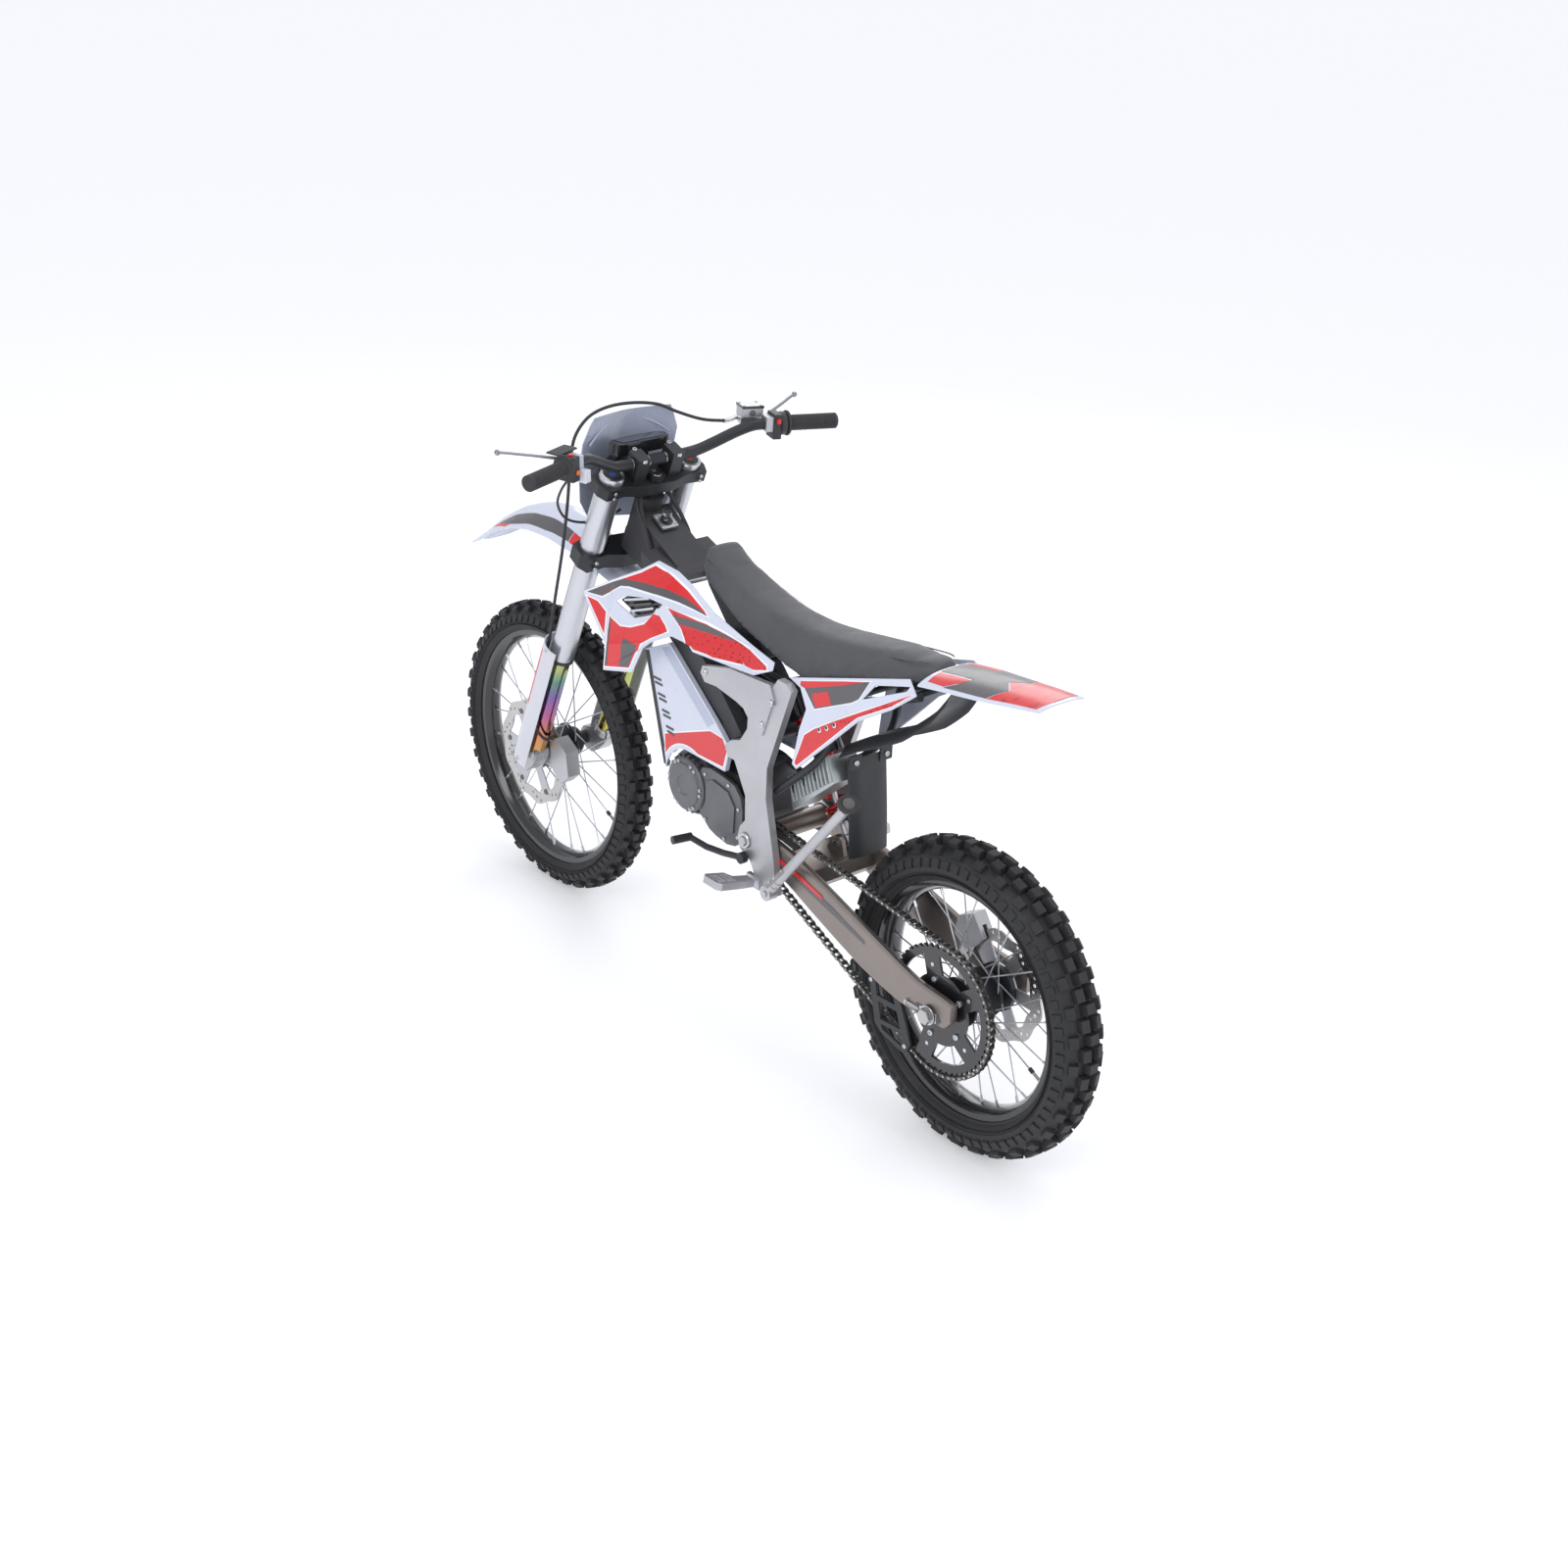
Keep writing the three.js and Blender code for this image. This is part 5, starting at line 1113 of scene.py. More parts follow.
def add_panel_prints():
    """The coloured areas of the shrouds, side panels and battery covers, a painted shade band on each battery cover's
    bevelled rear edge, and the shrouds' vents.
    """
    shroud = Print.on_node("shroud_left")
    prints = Shape()
    upper = [(1031, 882), (972, 917), (914, 949), (893, 966), (842, 957), (790, 942), (712, 914), (792, 922),
             (847, 924), (924, 921), (944, 917), (992, 882)]
    fore = [(962, 849), (930, 834), (902, 839), (864, 857), (838, 893), (797, 861), (842, 834), (868, 814),
            (898, 752), (975, 731), (962, 787)]
    middle = [(806, 908), (700, 904), (640, 897), (577, 886), (508, 877), (502, 872), (540, 860), (581, 857),
              (727, 842), (746, 861)]
    nose = [(1028, 873), (1001, 869), (977, 852), (973, 806)]
    for outline in (upper, fore, middle, nose):
        prints.both(shroud.area(grown(outline, 3.2), BORDER_LIFT), BORDER)
    for outline, material in (
            ([(966, 920), (914, 949), (893, 966), (842, 957), (790, 942), (712, 914), (780, 930), (835, 936),
              (889, 934), (948, 929)], RED),
            ([(966, 920), (948, 929), (889, 934), (835, 936), (780, 930), (712, 914), (792, 922), (847, 924),
              (924, 921), (944, 917)], GREY),
            ([(1031, 882), (972, 917), (966, 920), (944, 917), (992, 882)], GREY_DOTS),
            (fore, RED), (middle, RED_DOTS), (nose, RED)):
        prints.both(shroud.area(outline, PRINT_LIFT), material)
    for outline, material in (([(918, 812), (878, 808), (899, 754), (930, 745)], GREY),
                              ([(793, 897), (704, 903), (640, 896), (610, 891), (771, 884)], GREY),
                              ([(975, 733), (962, 787), (960, 846), (955, 843), (957, 787), (968, 736)], GREY)):
        prints.both(shroud.area(outline, OVERPRINT_LIFT), material)
    panel = Print.on_node("side_panel_left")
    top = [(447, 863), (300, 911), (236, 931), (258, 890), (276, 877), (377, 829), (410, 861)]
    base = [(419, 702), (413, 697), (327, 783), (257, 853), (174, 903), (126, 942), (239, 873), (320, 823),
            (372, 789), (397, 768), (408, 735)]
    for outline in (top, base):
        prints.both(panel.area(grown(outline, 2.4), BORDER_LIFT), BORDER)
    prints.both(panel.area(top, PRINT_LIFT), GREY)
    prints.both(panel.area(base, PRINT_LIFT), RED_DOTS)
    prints.both(panel.area([(447, 863), (300, 911), (248, 927), (311, 899), (404, 863)], OVERPRINT_LIFT), RED)
    prints.both(panel.area([(389, 856), (346, 876), (332, 853), (374, 833)], OVERPRINT_LIFT), RED_DOTS)
    for x, z in ((356, 793), (336, 804), (316, 817)):
        prints.both(panel.area(circle(x, z, 5.2, 16), OVERPRINT_LIFT), BORDER)
        prints.both(panel.area(circle(x + 0.8, z + 0.6, 3.8, 16), OVERPRINT_LIFT + 0.3), GLOSS_BLACK)
    cover = Print.on_node("battery_cover_left")
    arch = circle(*MOTOR, 88, 10, 1.95, -1.42)
    red = [(857, 600), (705, 661), (664, 659), (649, 637), (660, 597), *arch]
    prints.both(cover.area(grown(red, 3.0), BORDER_LIFT), BORDER)
    prints.both(cover.area(red, PRINT_LIFT), RED)
    # painted shade: a band of the darker pale moulding along each battery cover's bevelled rear edge stands for the
    # shade on that bevel
    prints.both(cover.area([(874, 790), (714, 667), (692, 683), (846, 801)], BORDER_LIFT), PALE)
    prints.both(cover.area([(928, 767), (917, 771), (846, 531), (858, 532)], OVERPRINT_LIFT), BLACK_PLASTIC)
    for k in range(8):
        along = (k // 2) * 36 + (k % 2) * 11
        x, z = 886 - along * 0.42, 716 - along * 0.9
        slot = [(x - 13, z - 2.6), (x + 13, z - 2.6), (x + 13, z + 2.6), (x - 13, z + 2.6)]
        prints.both(prism(slot, BATTERY_COVER_FACE, BATTERY_COVER_FACE + 1.1), GLOSS_BLACK)
    prints.make("panel_prints", "chassis", (), "white_plastic", sharp=30)

    louvres = Shape()

    def vent_side(x):
        return 140 + (x - 822) * 0.206

    def inset(outline, depth, thick):
        verts, faces = prism(outline, 0, thick)
        return [(x, vent_side(x) - depth + y, z) for x, y, z in verts], faces

    backing = [(946, 885), (921, 905), (858, 917), (820, 911), (844, 880), (896, 859)]
    louvres.both(inset(backing, 17, 3), GLOSS_BLACK)
    for k in range(4):
        a, b = Vector((926 - 10 * k, 892 - 9.5 * k)), Vector((862 - 6 * k, 912 - 9 * k))
        slat = [(a.x, a.y - 2.4), (a.x + 2, a.y), (a.x, a.y + 2.4),
                (b.x, b.y + 2.4), (b.x - 2, b.y), (b.x, b.y - 2.4)]
        louvres.both(inset(slat, 9, 6), DARK_STEEL if k % 2 else SATIN)
    louvres.make("shroud_louvres", "chassis", (), "white_plastic", sharp=30)


def fender_print(rows):
    """Print areas for a fender, cut by a fine grid of lines so that they follow its curve."""
    verts, faces = grid(rows, (0, 0, -FENDER_THICKNESS))
    ends = rows[0][0][0], rows[-1][0][0]
    lines = [((x, -90), (x, 90)) for x in range(int(min(ends)), int(max(ends)), 12)]
    lines += [((0, y), (1, y)) for y in range(-76, 80, 7)]
    return Print([Vector(v) for v in verts], faces, "z", lines)


# ---------------------------------------------------------------- seat
SEAT_STATIONS = [
    (822, 1008, 30, 990, 36, 972), (800, 1026, 44, 992, 50, 956), (740, 990, 46, 970, 66, 936),
    (660, 962, 46, 948, 80, 908), (580, 946, 46, 935, 86, 888), (500, 942, 47, 932, 89, 870),
    (430, 947, 48, 937, 92, 862), (360, 957, 48, 948, 90, 890), (280, 970, 46, 962, 84, 914),
    (200, 983, 42, 975, 68, 938), (150, 990, 32, 984, 44, 958), (130, 988, 20, 984, 28, 970)]


SEAT_SHRINK = 0.985  # the form before the cloth swells it


def seat_ring(station):
    """The seat's outline at one station: (x, top, edge half width and z, skirt half width and z)."""
    x, top, edge, edge_z, skirt, skirt_z = station
    half = [(0, top), (edge * 0.35, top - 0.4), (edge * 0.65, top - 1.6), (edge * 0.88, top - 4.5),
            (edge, edge_z), (edge + (skirt - edge) * 0.3 + 1.5, edge_z + (skirt_z - edge_z) * 0.3),
            ((edge + skirt) / 2 + 2, (edge_z + skirt_z) / 2), (skirt - 0.5, skirt_z + 5), (skirt - 4, skirt_z)]
    half = [(y * SEAT_SHRINK, z - (1 - SEAT_SHRINK) * 20) for y, z in half]
    return [(x, y, z) for y, z in half] + [(x, -y, z) for y, z in half[:0:-1]]


def swell(obj, limit):
    """Presses a remeshed pad outward as cloth, keeps each point within the limit, and applies it."""
    start = [v.co.copy() for v in obj.data.vertices]
    cloth = obj.modifiers.new("cloth", "CLOTH")
    cloth.settings.quality = 5
    cloth.settings.mass = 0.3
    cloth.settings.use_pressure = True
    cloth.settings.uniform_pressure_force = 3.5
    cloth.settings.tension_stiffness = cloth.settings.compression_stiffness = 30
    cloth.settings.effector_weights.gravity = 0
    scene = bpy.context.scene
    for step in range(1, 21):
        scene.frame_set(step)
    moved = obj.evaluated_get(bpy.context.evaluated_depsgraph_get())
    points = [v.co.copy() for v in moved.to_mesh().vertices]
    moved.to_mesh_clear()
    obj.modifiers.remove(cloth)
    for v, a, b in zip(obj.data.vertices, start, points):
        step = b - a
        v.co = a + step * min(1.0, limit / max(step.length, 1e-9))
    scene.frame_set(1)


def add_seat():
    rows = spline_rows(SEAT_STATIONS, 4)
    seat = Shape().add(loft([seat_ring(row) for row in rows]), VINYL).make(
        "seat_pad", "chassis", ["seat"], "seat_vinyl", sharp=70)
    seat.parent = None
    seat.matrix_world = Matrix.Identity(4)
    remesh = seat.modifiers.new("remesh", "REMESH")
    remesh.mode, remesh.voxel_size, remesh.use_smooth_shade = "VOXEL", SEAT_VOXEL, True
    solid = bpy.data.meshes.new_from_object(seat.evaluated_get(bpy.context.evaluated_depsgraph_get()))
    seat.modifiers.clear()
    seat.data = solid
    solid.materials.clear()
    solid.materials.append(VINYL)
    swell(seat, SEAT_SWELL)
    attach(seat, "chassis")
    seat.data.shade_smooth()
    smooth = seat.modifiers.new("smooth", "SUBSURF")
    smooth.levels = smooth.render_levels = 1
    seams = Shape()
    for side in (1, -1):
        line = []
        for row in rows[3:-3]:
            x, y, z = seat_ring(row)[4]
            line.append((x, side * (y + 0.9), z + 1.2))
        seams.add(tube(line, 1.5, 8), VINYL)
    seams.make("seat_piping", "chassis", (), "seat_vinyl", sharp=60)


# ---------------------------------------------------------------- rear suspension
def add_swingarm():
    """Two tapering rounded arms, the cross bridge with the shock's ears, and the chain adjusters."""
    shape = Shape()
    stations = [(-56, 331, 372, 103, 19), (-36, 312, 375, 103, 20), (40, 311, 381, 102.4, 20),
                (84, 311, 391, 101.6, 20), (203, 333, 425, 99, 20), (360, 384, 470, 94.6, 20),
                (440, 412, 488, 92, 20), (500, 431, 497, 92, 20),
                (560, 452, 502, 92, 20), (582, 462, 492, 92, 19)]
    rings = []
    for x, low, high, line, wide in spline_rows(stations, 5):
        mid, tall, half = (low + high) / 2, (high - low) / 2, wide / 2
        ring = []
        for k in range(28):
            a = TAU * k / 28
            c, d = cos(a), sin(a)
            y = line + half * copysign(abs(c) ** 0.45, c)
            z = mid + tall * copysign(abs(d) ** 0.6, d)
            if c > 0 and abs(d) < 0.55 and x > 60:
                y -= 1.6
            ring.append((x, y, z))
        rings.append(ring)
    shape.both(loft(rings), BRONZE)
    bridge = [(385, 430), (400, 412), (478, 430), (488, 462), (470, 468), (390, 462)]
    shape.add(prism(bridge, -90, 90), BRONZE)
    for side in (1, -1):
        ear = [(400, 458), (410, 494), (418, 500), (432, 500), (440, 494), (458, 460)]
        middle = SHOCK_FOOT.y + side * 27
        shape.add(prism(ear, middle - 5, middle + 5), BRONZE)
        shape.add(bolt(9, 5, socket=False), STEEL,
                  axis_matrix((SHOCK_FOOT.x, middle + side * 4.6, SHOCK_FOOT.z), (0, side, 0)))
    shape.add(cylinder(5, -30, 30, 20), STEEL, axis_matrix(SHOCK_FOOT, (0, 1, 0)))
    shape.add(cylinder(23.5, -101, 101, 40, 1.5), BRONZE, axis_matrix((PIVOT[0], 0, PIVOT[1]), (0, 1, 0)))
    slot = [(-26, 320), (34, 320), (40, 328), (34, 336), (-26, 336), (-32, 328)]
    for side in (1, -1):
        shape.add(prism(grown(slot, 3), side * 112 - 1.4, side * 112 + 1.4), DARK_CAST)
        shape.add(prism(slot, side * 113.2 - 1.2, side * 113.2 + 1.2), DARK_STEEL)
        shape.add(box(-22, 24, side * 114.2 - 1.6, side * 114.2 + 1.6, 318, 338), SATIN)
        shape.add(cylinder(3.4, -14, 26, 14), STEEL, axis_matrix((40, side * 114, 328), (1, 0, 0)))
        shape.add(bolt(6, 5, socket=False), SATIN, axis_matrix((60, side * 114, 328), (1, 0, 0)))
    shape.make("p_swingarm", "swingarm", ["swingarm"], "bronze_aluminium", sharp=40, bevel=0.9)


def swing_face(x):
    """The outer side of the swingarm's arm at x."""
    return 103.2 + max(0.0, 440 - x) * 0.0255 - 1.8


def add_chain_guide():
    """The guide under the sprocket, the slider by the pivot, and the arm's stripe."""
    guide = Shape()
    rim = [(190, 330), (178, 272), (165, 226), (148, 212), (84, 196), (70, 204), (62, 224), (84, 276), (108, 326)]
    windows = [[(122, 318), (172, 322), (165, 288), (112, 290)], [(106, 278), (160, 276), (150, 240), (92, 244)],
               [(88, 234), (148, 230), (142, 220), (86, 208)]]
    guide.add(prism(rim, CHAIN_LINE + 10.2, CHAIN_LINE + 15.8, windows), BLACK_PLASTIC)
    for x, z in ((182, 316), (118, 316), (76, 214)):
        guide.add(bolt(5, 3), SATIN, axis_matrix((x, CHAIN_LINE + 15.8, z), (0, 1, 0)))
    slider = [(440, 492), (500, 501), (548, 505), (548, 509), (500, 505.5), (438, 496)]
    guide.add(prism(slider, 72, 90), RUBBER)
    stripe = [(500, 468), (430, 458), (300, 428), (196, 397), (196, 389), (300, 413), (430, 441), (500, 452)]
    glow = [(470, 466), (400, 454), (330, 438), (330, 430), (400, 444), (470, 456)]
    for outline, lift, material in ((stripe, 0.1, GREY), (glow, 0.6, RED)):
        verts, faces = prism(outline, 0, 1)
        guide.add(([(x, swing_face(x) + y + lift - 0.8, z) for x, y, z in verts], faces), material)
    guide.make("chain_guide", "swingarm", (), "black_plastic", sharp=34, bevel=0.5)


def add_rear_end():
    add_swingarm()
    add_chain_guide()
    refined("rear_caliper", CAST, 2.4, 3)
    refined("front_caliper", CAST, 2.4, 3)
    for name, body, spec, ends in (
            ("rear_axle", "swingarm", REAR, ((10, 90, 130, 32, 1.5), (17, 119.4, 130.6, 6, 1.6))),
            ("front_axle", "fork_lower", FRONT, ((15, 119.8, 125.6, 6, 1.4), (9.8, 110, 127.6, 32, 1.5)))):
        hub = (spec["x"], 0, spec["radius"])
        axle = Shape()
        for side in (1, -1):
            for end in ends:
                axle.add(cylinder(*end), STEEL, axis_matrix(hub, (0, side, 0)))
            if spec is REAR:
                axle.add(cylinder(20, 117.6, 119.6, 36, 0.5), SATIN, axis_matrix(hub, (0, side, 0)))
        axle.add(cylinder(9.9 if spec is REAR else 9.8, -118, 118, 32), STEEL, axis_matrix(hub, (0, 1, 0)))
        axle.make("p_" + name, body, [name], "steel", sharp=32)


SHOCK_TOP = Vector((600, -45, 765))
SHOCK_FOOT = Vector((425, -45, 484))


def add_shock():
    reach = (SHOCK_TOP - SHOCK_FOOT).length
    lean = atan2(SHOCK_TOP.x - SHOCK_FOOT.x, SHOCK_TOP.z - SHOCK_FOOT.z)
    place = shifted(SHOCK_TOP) @ turned(lean, "Y")
    across = turned(pi / 2, "X")
    body = Shape()
    body.add(pipe(14.6, 7.2, -14.5, 14.5, 36), CAST, place @ across)
    damper = [(7.2, -180), (16.2, -180), (16.4, -178), (16.4, -12), (12, -9), (7.2, -9)]
    body.add(lathe(damper, 40, True), BLACK_METAL, place)
    body.add(pipe(30.6, 16, -72, -66, 48), RED_ANODISED, place)
    body.add(pipe(27, 16, -66, -60, 48), BLACK_METAL, place)
    body.add(lathe([(0, -150), (15, -150), (17, -147), (17, -46), (14, -43), (0, -43)], 36), GLOSS_BLACK,
             place @ shifted((-52, 0, 0)))
    body.add(box(-50, -8, -10, 10, -56, -44), BLACK_METAL, place)
    body.make("p_shock_body", "shock_body", ["shock_body"], "black_metal", sharp=34)
    shaft = Shape()
    shaft.add(pipe(13.6, 8.2, -13.5, 13.5, 36), CAST, place @ shifted((0, 0, -reach)) @ across)
    shaft.add(cylinder(6.3, -reach + 13, -130, 32), SATIN, place)
    seat = [(6.4, -reach + 38), (28, -reach + 38), (31, -reach + 40), (31, -reach + 45.8), (6.4, -reach + 45.8)]
    shaft.add(lathe(seat, 48, True), BLACK_METAL, place)
    foot = [(6.3, -reach + 12), (11, -reach + 12), (9, -reach + 38), (6.3, -reach + 38)]
    shaft.add(lathe(foot, 32, True), CAST, place)
    shaft.make("p_shock_shaft", "shock_shaft", ["shock_shaft"], "steel", sharp=34)
    low, high, wire = -reach + 46.4, -72.4, 4.6
    turns, steps, closed_turns = 7.5, 34, 0.7
    points = []
    for i in range(int(turns * steps) + 1):
        t = i / (turns * steps)
        ease = min(1, max(0, (t * turns - closed_turns) / (turns - 2 * closed_turns)))
        z = low + wire + (high - low - 2 * wire) * ease
        a = TAU * turns * t
        points.append(place @ Vector((25 * cos(a), 25 * sin(a), z)))
    spring = Shape().add(tube(points, wire, 14), RED_ANODISED).make(
        "p_shock_spring", "shock_body", ["shock_spring"], "red_plastic", sharp=80)
    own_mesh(spring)


# ---------------------------------------------------------------- frame, battery and motor
def add_frame():
    refined("main_frame", FRAME_BLACK, 3.5, 3)
    refined("pivot_plate_left", CAST, 2.6, 3)
    refined("pivot_plate_right", CAST, 2.6, 3)
    rail = [(792, 70, 868), (600, 74, 838), (455, 74, 828), (300, 70, 862), (150, 44, 918)]
    strut = [(500, 90, 600), (365, 86, 735), (330, 74, 846)]
    shape = Shape()
    shape.both(tube(smooth_path(rail, 8), 9, 20), BLACK_METAL)
    shape.both(tube(smooth_path(strut, 8), 8, 20), BLACK_METAL)
    for x, y, z in ((600, 74, 838), (330, 71, 856), (170, 48, 912)):
        shape.add(tube([(x, -y, z), (x, y, z)], 6.8, 16), BLACK_METAL)
    shape.make("p_subframe", "chassis", ["subframe"], "black_metal", sharp=50)
    fixings = Shape()
    for side in (1, -1):
        for x, y, z, r in ((697, 124, 801, 7), (487, 124, 806, 7), (514, 124, 750, 7), (505, 120, 400, 5)):
            fixings.add(bolt(r, 3.4), SATIN, axis_matrix((x, side * y, z), (0, side, 0)))
        for y, cap, material in ((120, cylinder(17, 0, 5.5, 40, 1.5), SATIN), (125, bolt(10, 4.5, False), STEEL)):
            fixings.add(cap, material, axis_matrix((PIVOT[0], side * y, PIVOT[1]), (0, side, 0)))
    # the key switch's plate, square to the frame's sloping top
    slope = Vector((1047 - 880, 0, 1030 - 938)).normalized()
    up = Vector((-slope.z, 0, slope.x))
    switch = Vector((1001, 0, 1006)) + up * 8
    square = [(-19, -21), (19, -21), (21, -19), (21, 19), (19, 21), (-19, 21), (-21, 19), (-21, -19)]
    turn = axes(slope, Vector((0, 1, 0)), up)
    fixings.add(plate(square, -4, 2), SATIN, shifted(switch) @ turn)
    for x in (-15, 15):
        for y in (-15, 15):
            at = switch + slope * x + Vector((0, y, 0)) + up * 2
            fixings.add(bolt(3, 2), STEEL, shifted(at) @ turn)
    fixings.add(pipe(13.5, 7.5, 1, 5, 32), GLOSS_BLACK, shifted(switch) @ turn)
    for x in (866, 906):
        fixings.add(cylinder(5, -52, 52, 20, 1), SATIN, axis_matrix((x, 0, 924), (0, 1, 0)))
    fixings.make("frame_fixings", "chassis", (), "satin_aluminium", sharp=32)


def add_power():
    refined("battery_pack", BLACK_PLASTIC, 4, 3)
    for side in ("left", "right"):
        refined(f"battery_cover_{side}", WHITE, 0.9, 3, merge=0.01)
    place = axis_matrix((MOTOR[0], 0, MOTOR[1]), (0, 1, 0))
    drum = [(0, -99.6), (50, -99.6), (58, -97), (60, -93), (60, -84.2), (71, -84), (72, -80)]
    y = -72
    while y < 70:
        drum += [(72, y), (72, y + 4), (66, y + 4.6), (66, y + 8)]
        y += 9
    drum += [(72, 74), (72, 80), (70.5, 84), (60, 84.2), (60, 103), (57.5, 106.5), (50, 108), (48, 111.6), (44, 112),
             (22, 112), (20, 110), (0, 110)]
    shape = Shape().add(lathe(drum, 96), DARK_CAST, place)
    for k in range(6):
        for d in (-0.12, 0.12):
            bx, bz = polar(MOTOR, 52.5, TAU * k / 6 + d)
            shape.add(bolt(4.0, 3.4), SATIN, axis_matrix((bx, 107.2, bz), (0, 1, 0)))
    for k in range(24):
        shape.add(box(60, 64.5, -2, 2, 85, 100), DARK_CAST, place @ turned(TAU * k / 24, "Z"))
    gear = [(760, 580), (640, 572), (604, 548), (598, 530), (598, 450), (604, 434), (616, 425.2), (740, 425.2),
            (790, 445)]
    shape.add(prism(gear, -70, 70), DARK_CAST)
    spacer = [(735, 560), (706, 572), (680, 545), (680, 452), (700, 440), (735, 470)]
    shape.add(prism(spacer, 60, 92), DARK_CAST)
    shape.add(cylinder(10, 60, 88, 24), STEEL, axis_matrix((DRIVE[0], 0, DRIVE[1]), (0, 1, 0)))
    shape.make("p_motor", "chassis", ["motor"], "black_metal", sharp=34)
    rim = [(735, 560), (728, 570), (700, 577), (660, 574), (622, 568), (602, 548), (594, 522), (593, 480), (598, 448),
           (614, 432), (640, 426), (680, 432), (700, 438), (724, 456), (735, 470)]
    cover = Shape().add(prism(rim, 91, 99.8), DARK_CAST)
    for bx, bz in ((718, 558), (640, 562), (606, 520), (606, 456), (650, 436), (714, 456)):
        cover.add(bolt(4.2, 3.2), SATIN, axis_matrix((bx, 99.6, bz), (0, 1, 0)))
    inner = [(712, 546), (690, 556), (640, 548), (616, 520), (618, 462), (644, 446), (690, 456), (712, 480)]
    cover.add(prism(inner, 99, 103.5), DARK_CAST)
    cover.make("sprocket_cover", "chassis", (), "black_metal", sharp=34, bevel=1.6, segments=3)

    hoses = Shape()
    for route in ([(700, 40, 583), (650, 58, 600), (600, 66, 612), (560, 60, 640), (520, 50, 655)],
                  [(700, 10, 583), (640, 20, 606), (585, 30, 616), (545, 40, 640), (505, 40, 640)],
                  [(702, -22, 583), (640, -30, 604), (575, -20, 600), (530, 0, 610), (490, 20, 620)]):
        hoses.add(tube(smooth_path(route, 8), 6.5, 14), RUBBER)
    for at in ((470, 68, 612), (438, 68, 638), (408, 68, 662)):
        hoses.add(lathe([(0, -4), (8, -4), (8, 3), (5.4, 5), (0, 5)], 24), RUBBER, axis_matrix(at, (0, 1, 0)))
    hoses.make("motor_hoses", "chassis", (), "rubber", sharp=50)
    add_controller()


def add_controller():
    """The motor controller's finned alloy box."""
    a, b = Vector((490, 35, 630)), Vector((373, 35, 722))
    half = (b - a).normalized() * 2.2
    depth = Vector((353 - 374, 0, 667 - 720)).normalized() * 52
    shape = Shape().add(prism([(489, 629), (374, 720), (353, 667), (473, 562)], -3.5, 68), ALLOY_BOX)
    for k in range(11):
        c = a.lerp(b, (k + 0.5) / 11)
        fin = [c - half, c + half, c + half + depth, c - half + depth]
        shape.add(prism([(p.x, p.z) for p in fin], 67.5, 73.6), ALLOY_BOX)
    shape.make("p_controller", "chassis", ["controller"], "cast_silver", sharp=34, bevel=0.8)


# ---------------------------------------------------------------- bodywork
def add_bodywork():
    for side in ("left", "right"):
        refined(f"shroud_{side}", WHITE, 1.3, 3, merge=0.01)
        refined(f"side_panel_{side}", WHITE, 1.3, 3, merge=0.01)
    stations = [(122, 82, 962, 978), (60, 80, 972, 988), (-20, 74, 982, 997), (-100, 66, 994, 1004),
                (-164, 57, 1003, 1008)]
    rows = []
    for x, half, edge, mid in spline_rows(stations, 4):
        rows.append([(x - 3 * (1 - abs(u)), half * u, mid + 2 * (1 - abs(u)) + (edge - mid) * abs(u) ** 3)
                     for u in (k / 8 for k in range(-8, 9))])
    add_sheet("tail_fender", "chassis", rows, (0, 0, -FENDER_THICKNESS), WHITE, "white_plastic")
    tail = fender_print(rows)
    prints = Shape()
    corner = [(112, 36), (108, 70), (64, 72), (42, 54), (30, 36)]
    middle = [(114, 31), (28, 31), (42, 58), (62, 74), (-40, 67), (-60, 30), (-30, 0), (-60, -30), (-40, -67),
              (62, -74), (42, -58), (28, -31), (114, -31)]
    rear = [(-43, 67), (-152, 53), (-158, 0), (-152, -53), (-43, -67), (-63, -30), (-33, 0), (-63, 30)]
    prints.both(tail.area(corner, PRINT_LIFT), RED)
    prints.add(tail.area(middle, PRINT_LIFT), GREY)
    prints.add(tail.area(rear, PRINT_LIFT), RED_DOTS)
    prints.make("tail_fender_prints", "chassis", (), "white_plastic", sharp=50)
    under = [(352, 60, 742), (300, 62, 775), (240, 60, 806), (180, 56, 840), (115, 50, 898), (82, 46, 945)]
    rows = []
    for x, half, z in spline_rows(under, 4):
        rows.append([(x, half * k / 6, z - 22 * max(0, (abs(k / 6) - 0.6) / 0.4) ** 1.5) for k in range(-6, 7)])
    add_sheet("undertail", "chassis", rows, (0, 0, 3.6), BLACK_PLASTIC, "black_plastic")
    rows = []
    for x, _, z in smooth_path([(341, 0, 715), (334, 0, 650), (327, 0, 580), (322, 0, 505)], 4):
        rows.append([(x + 6 * max(0, (abs(k / 6) - 0.5) / 0.5) ** 1.5, -8 + 50 * k / 6, z) for k in range(-6, 7)])
    add_sheet("mud_flap", "chassis", rows, (-3.6, 0, 0), BLACK_PLASTIC, "rubber")
    tabs = Shape()
    for y in (30, -50):
        tabs.add(box(333, 337.6, y - 16, y + 16, 696, 726), BLACK_PLASTIC)
        tabs.add(bolt(6, 4), SATIN, axis_matrix((333.4, y, 710), (-1, 0, 0.08)))
    tabs.make("flap_tabs", "chassis", (), "black_plastic", sharp=34, bevel=1.0)


# ---------------------------------------------------------------- foot controls, stand, key and cables
def add_small_parts():
    for node, material, bevel in (("footpeg_left", CAST, 1.2), ("footpeg_right", CAST, 1.2),
                                  ("shift_lever", BLACK_METAL, 1.0), ("brake_pedal", BLACK_METAL, 1.0),
                                  ("key", MACHINED, 0.6)):
        refined(node, material, bevel)
    add_stand()
    add_cables()


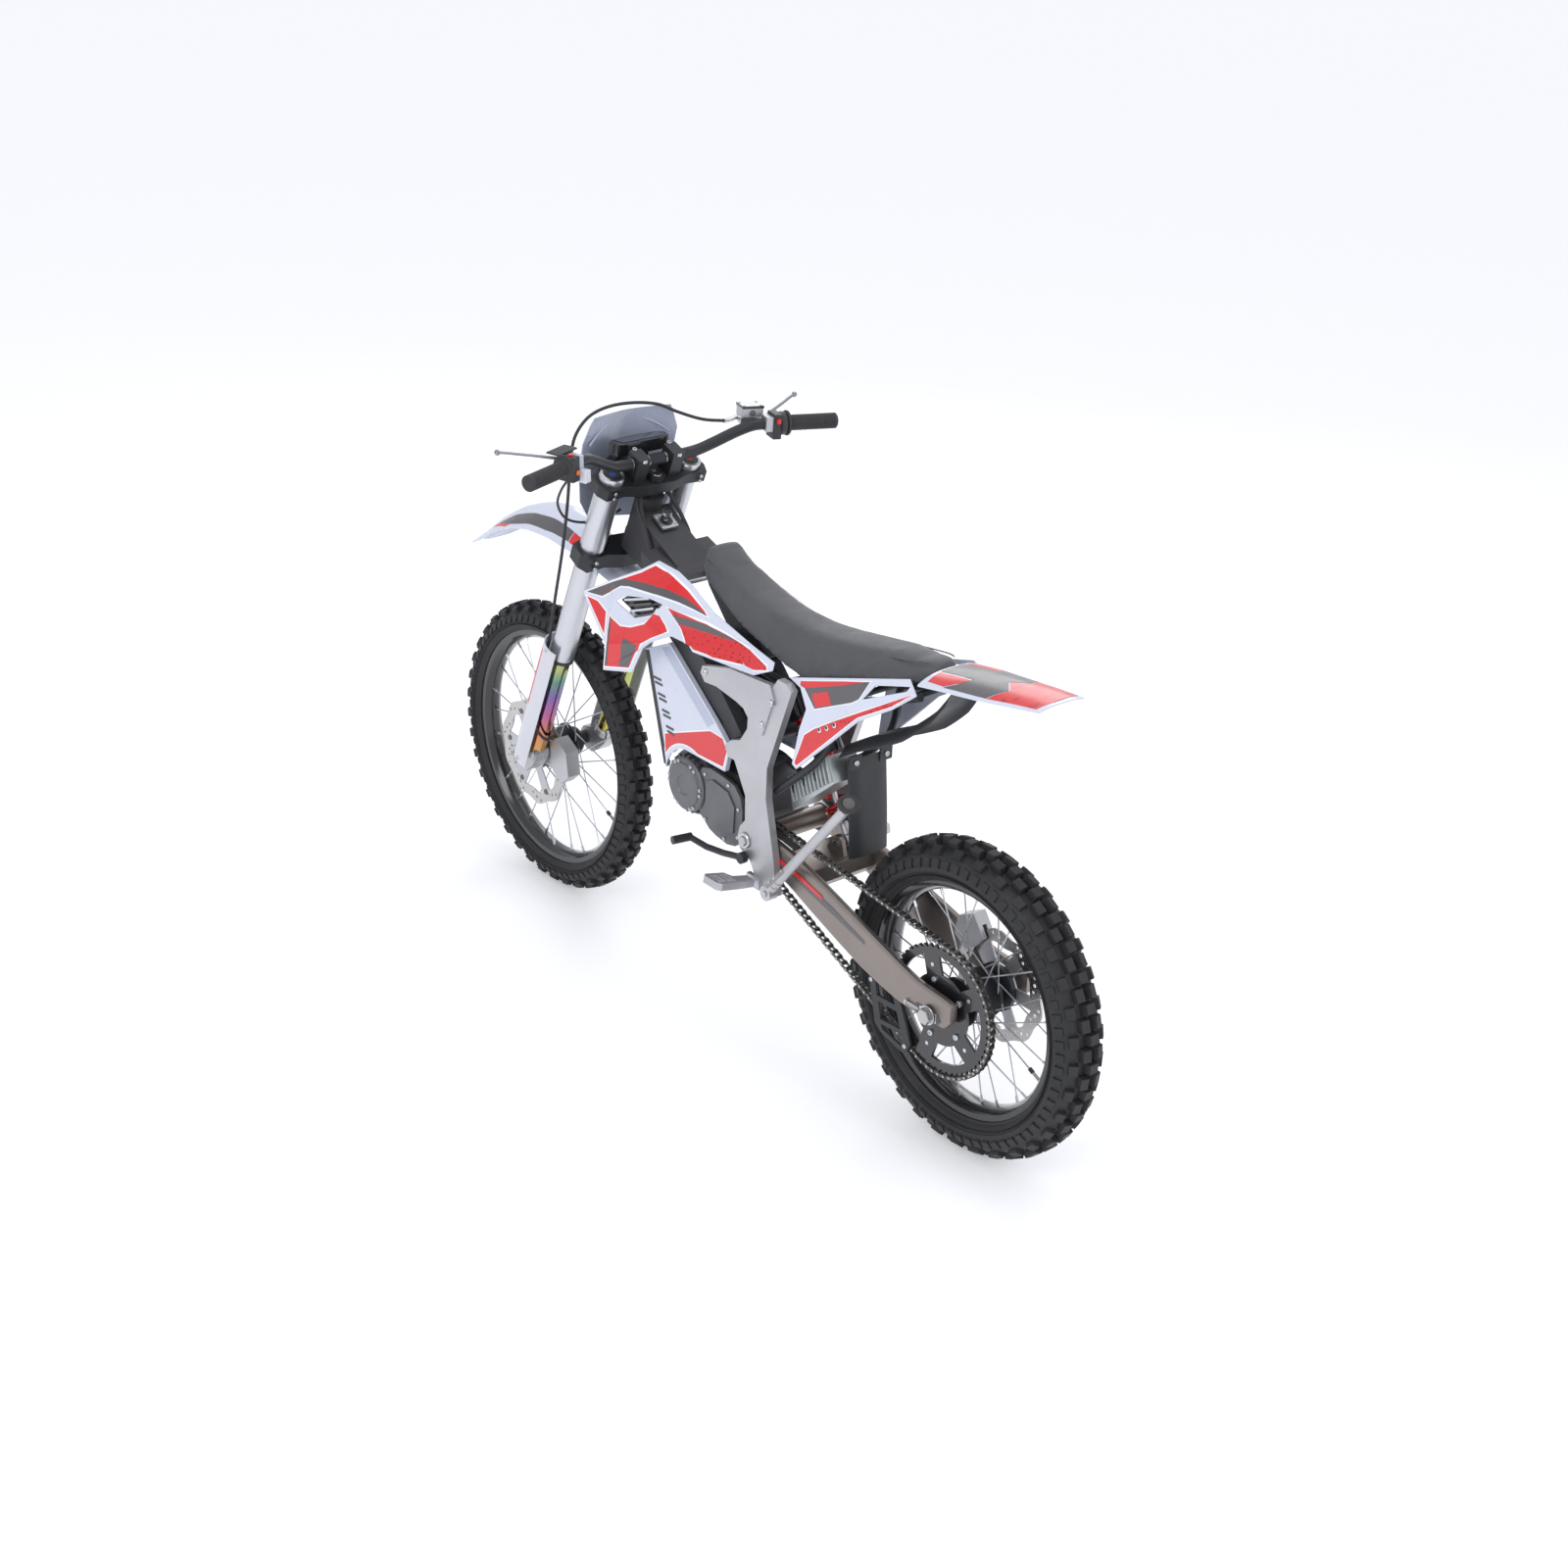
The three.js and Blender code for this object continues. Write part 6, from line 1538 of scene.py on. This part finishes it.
def add_stand():
    """The kickstand with its hinge, ridges, return spring and rubber foot."""
    stand = Shape()
    hinge, tip = Vector((455, 133, 412)), Vector((200, 170, 703))
    along = (tip - hinge).normalized()
    stand.add(tube([hinge, hinge + along * 30, tip - along * 22, tip - along * 8], [11, 10.6, 10.6, 9.4], 28), CAST)
    stand.add(pipe(16, 6.6, 121, 143, 36), CAST,
              shifted((462, 0, 400)) @ turned(-pi / 2, "X"))
    for reach in (0.5, 1):
        stand.add(pipe(12.2, 9.8, -1.6, 1.6, 28), CAST, axis_matrix(hinge + along * 40 * reach, along))
    foot = tip + Vector((-4, 0, 10))
    out = Vector((-0.5, 0.3, 0.81)).normalized()
    side = out.cross(Vector((0, 0, 1))).normalized()
    up = side.cross(out)
    loop = [foot + 17 * cos(TAU * k / 36) * side + 15 * sin(TAU * k / 36) * up
            for k in range(36)]
    stand.add(tube(loop, 5.4, 12, closed=True), RUBBER)
    stand.add(lathe([(0, -6), (12, -5), (13.5, 0), (12, 4), (0, 5)], 28), DARK_STEEL, axis_matrix(foot, out))
    coil, coils, steps = [], 14, 16
    start, end = hinge + Vector((14, 9, -6)), hinge + along * 118 + Vector((6, 9, -4))
    reach = end - start
    across = reach.normalized().cross(Vector((0, 1, 0))).normalized()
    for k in range(coils * steps + 1):
        a = TAU * k / steps
        middle = start + reach * (0.16 + 0.68 * k / (coils * steps))
        coil.append(middle + 4.2 * cos(a) * across + Vector((0, 4.2 * sin(a), 0)))
    stand.add(tube(coil, 1.1, 6), STEEL)
    stand.add(tube([start, start + reach * 0.17], 1.1, 8), STEEL)
    stand.add(tube([end - reach * 0.17, end], 1.1, 8), STEEL)
    stand.make("p_kickstand", "kickstand", ["kickstand"], "cast_silver", sharp=40)


HOSE_ROUTE = [
    (1040, -186, 1190), (1068, -150, 1192), (1096, -105, 1208), (1112, -62, 1228), (1130, 0, 1236), (1130, 70, 1234),
    (1122, 118, 1220), (1122, 146, 1186), (1132, 150, 1120), (1148, 146, 1034), (1182, 136, 916), (1220, 126, 810)]
HOSE_ON_LEG = [(0.6, 44, -400), (0.7, 36, -470), (0.8, 36, -620), (1.8, 36, -680), (2.8, 36, -715)]
CABLE_ROUTE = [(1012, 222, 1162), (1036, 226, 1130), (1066, 220, 1100), (1106, 200, 1056), (1132, 160, 1010),
               (1140, 110, 990), (1136, 60, 990), (1118, 28, 1010)]


def add_cable(name, node, route, radius, moves=None):
    points = smooth_path(route, 8)
    piece = Shape().add(tube(points, radius, 16), RUBBER).make(name, "steering", [node], "rubber", sharp=60)
    if moves:
        piece.parent = None
        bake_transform(piece)


def add_cables():
    leg = []
    for angle, reach, up in HOSE_ON_LEG:
        leg.append(tuple(STEER @ Vector((*polar((FORK_AHEAD, FORK_HALF), reach, angle), up))))
    bend = ("steering", "fork_lower", tuple(P(1122, 146, 1150)), tuple(P(1240, 126, 760)))
    add_cable("brake_hose", "front_brake_hose", [*HOSE_ROUTE, *leg, (1296, 82, 428)], 3.5, bend)
    add_cable("clutch_line", "clutch_cable", CABLE_ROUTE, 2.8)
    wires = Shape()
    for y, width, dip in ((40, 5.0, 0), (50, 4.0, 12), (-44, 4.5, 6)):
        route = [(1046, y * 0.8, 1066), (1034, y, 1046), (1012 - dip, y * 1.16, 1010), (990 - dip, y * 1.2, 980),
                 (978 - dip, y * 1.1, 955)]
        wires.add(tube(smooth_path(route, 8), width, 14), RUBBER)
    wires.make("head_wires", "chassis", (), "rubber", sharp=60)


# ---------------------------------------------------------------- floor
def add_floor():
    """A plain pale floor, wide enough to pass behind the object at the photograph's angle."""
    material = surface("floor", (0.84, 0.84, 0.86), 0.7, spread=0.01)
    emission = material.node_tree.nodes["Principled BSDF"].inputs
    emission["Emission Color"].default_value = (0.97, 0.98, 1.0, 1)
    emission["Emission Strength"].default_value = 0.3
    half = 90000
    verts, faces = box(-half, half, -half, half, -20, -0.2)
    mesh = bpy.data.meshes.new("floor")
    mesh.from_pydata([tuple(Vector(v) * MM) for v in verts], [], faces)
    mesh.materials.append(material)
    ground = bpy.data.objects.new("floor", mesh)
    bpy.context.scene.collection.objects.link(ground)


# ---------------------------------------------------------------- everything
add_camera()
add_studio()
add_floor()

add_wheels()
wave_disc("rear_disc", REAR, 120, 30.8, -78, -74, "rear_wheel")
wave_disc("front_disc", FRONT, 128, 24.8, 62, 66, "front_wheel")
add_drive()
add_fork()
add_clamps()
add_bar()
grip("grip_left", 1, "steering")
grip("throttle_grip", -1, "throttle_grip")
lever("lever_left", 1)
lever("lever_right", -1)
add_controls()
add_front_end()
add_seat()
add_rear_end()
add_shock()
add_frame()
add_power()
add_bodywork()
add_panel_prints()
add_small_parts()
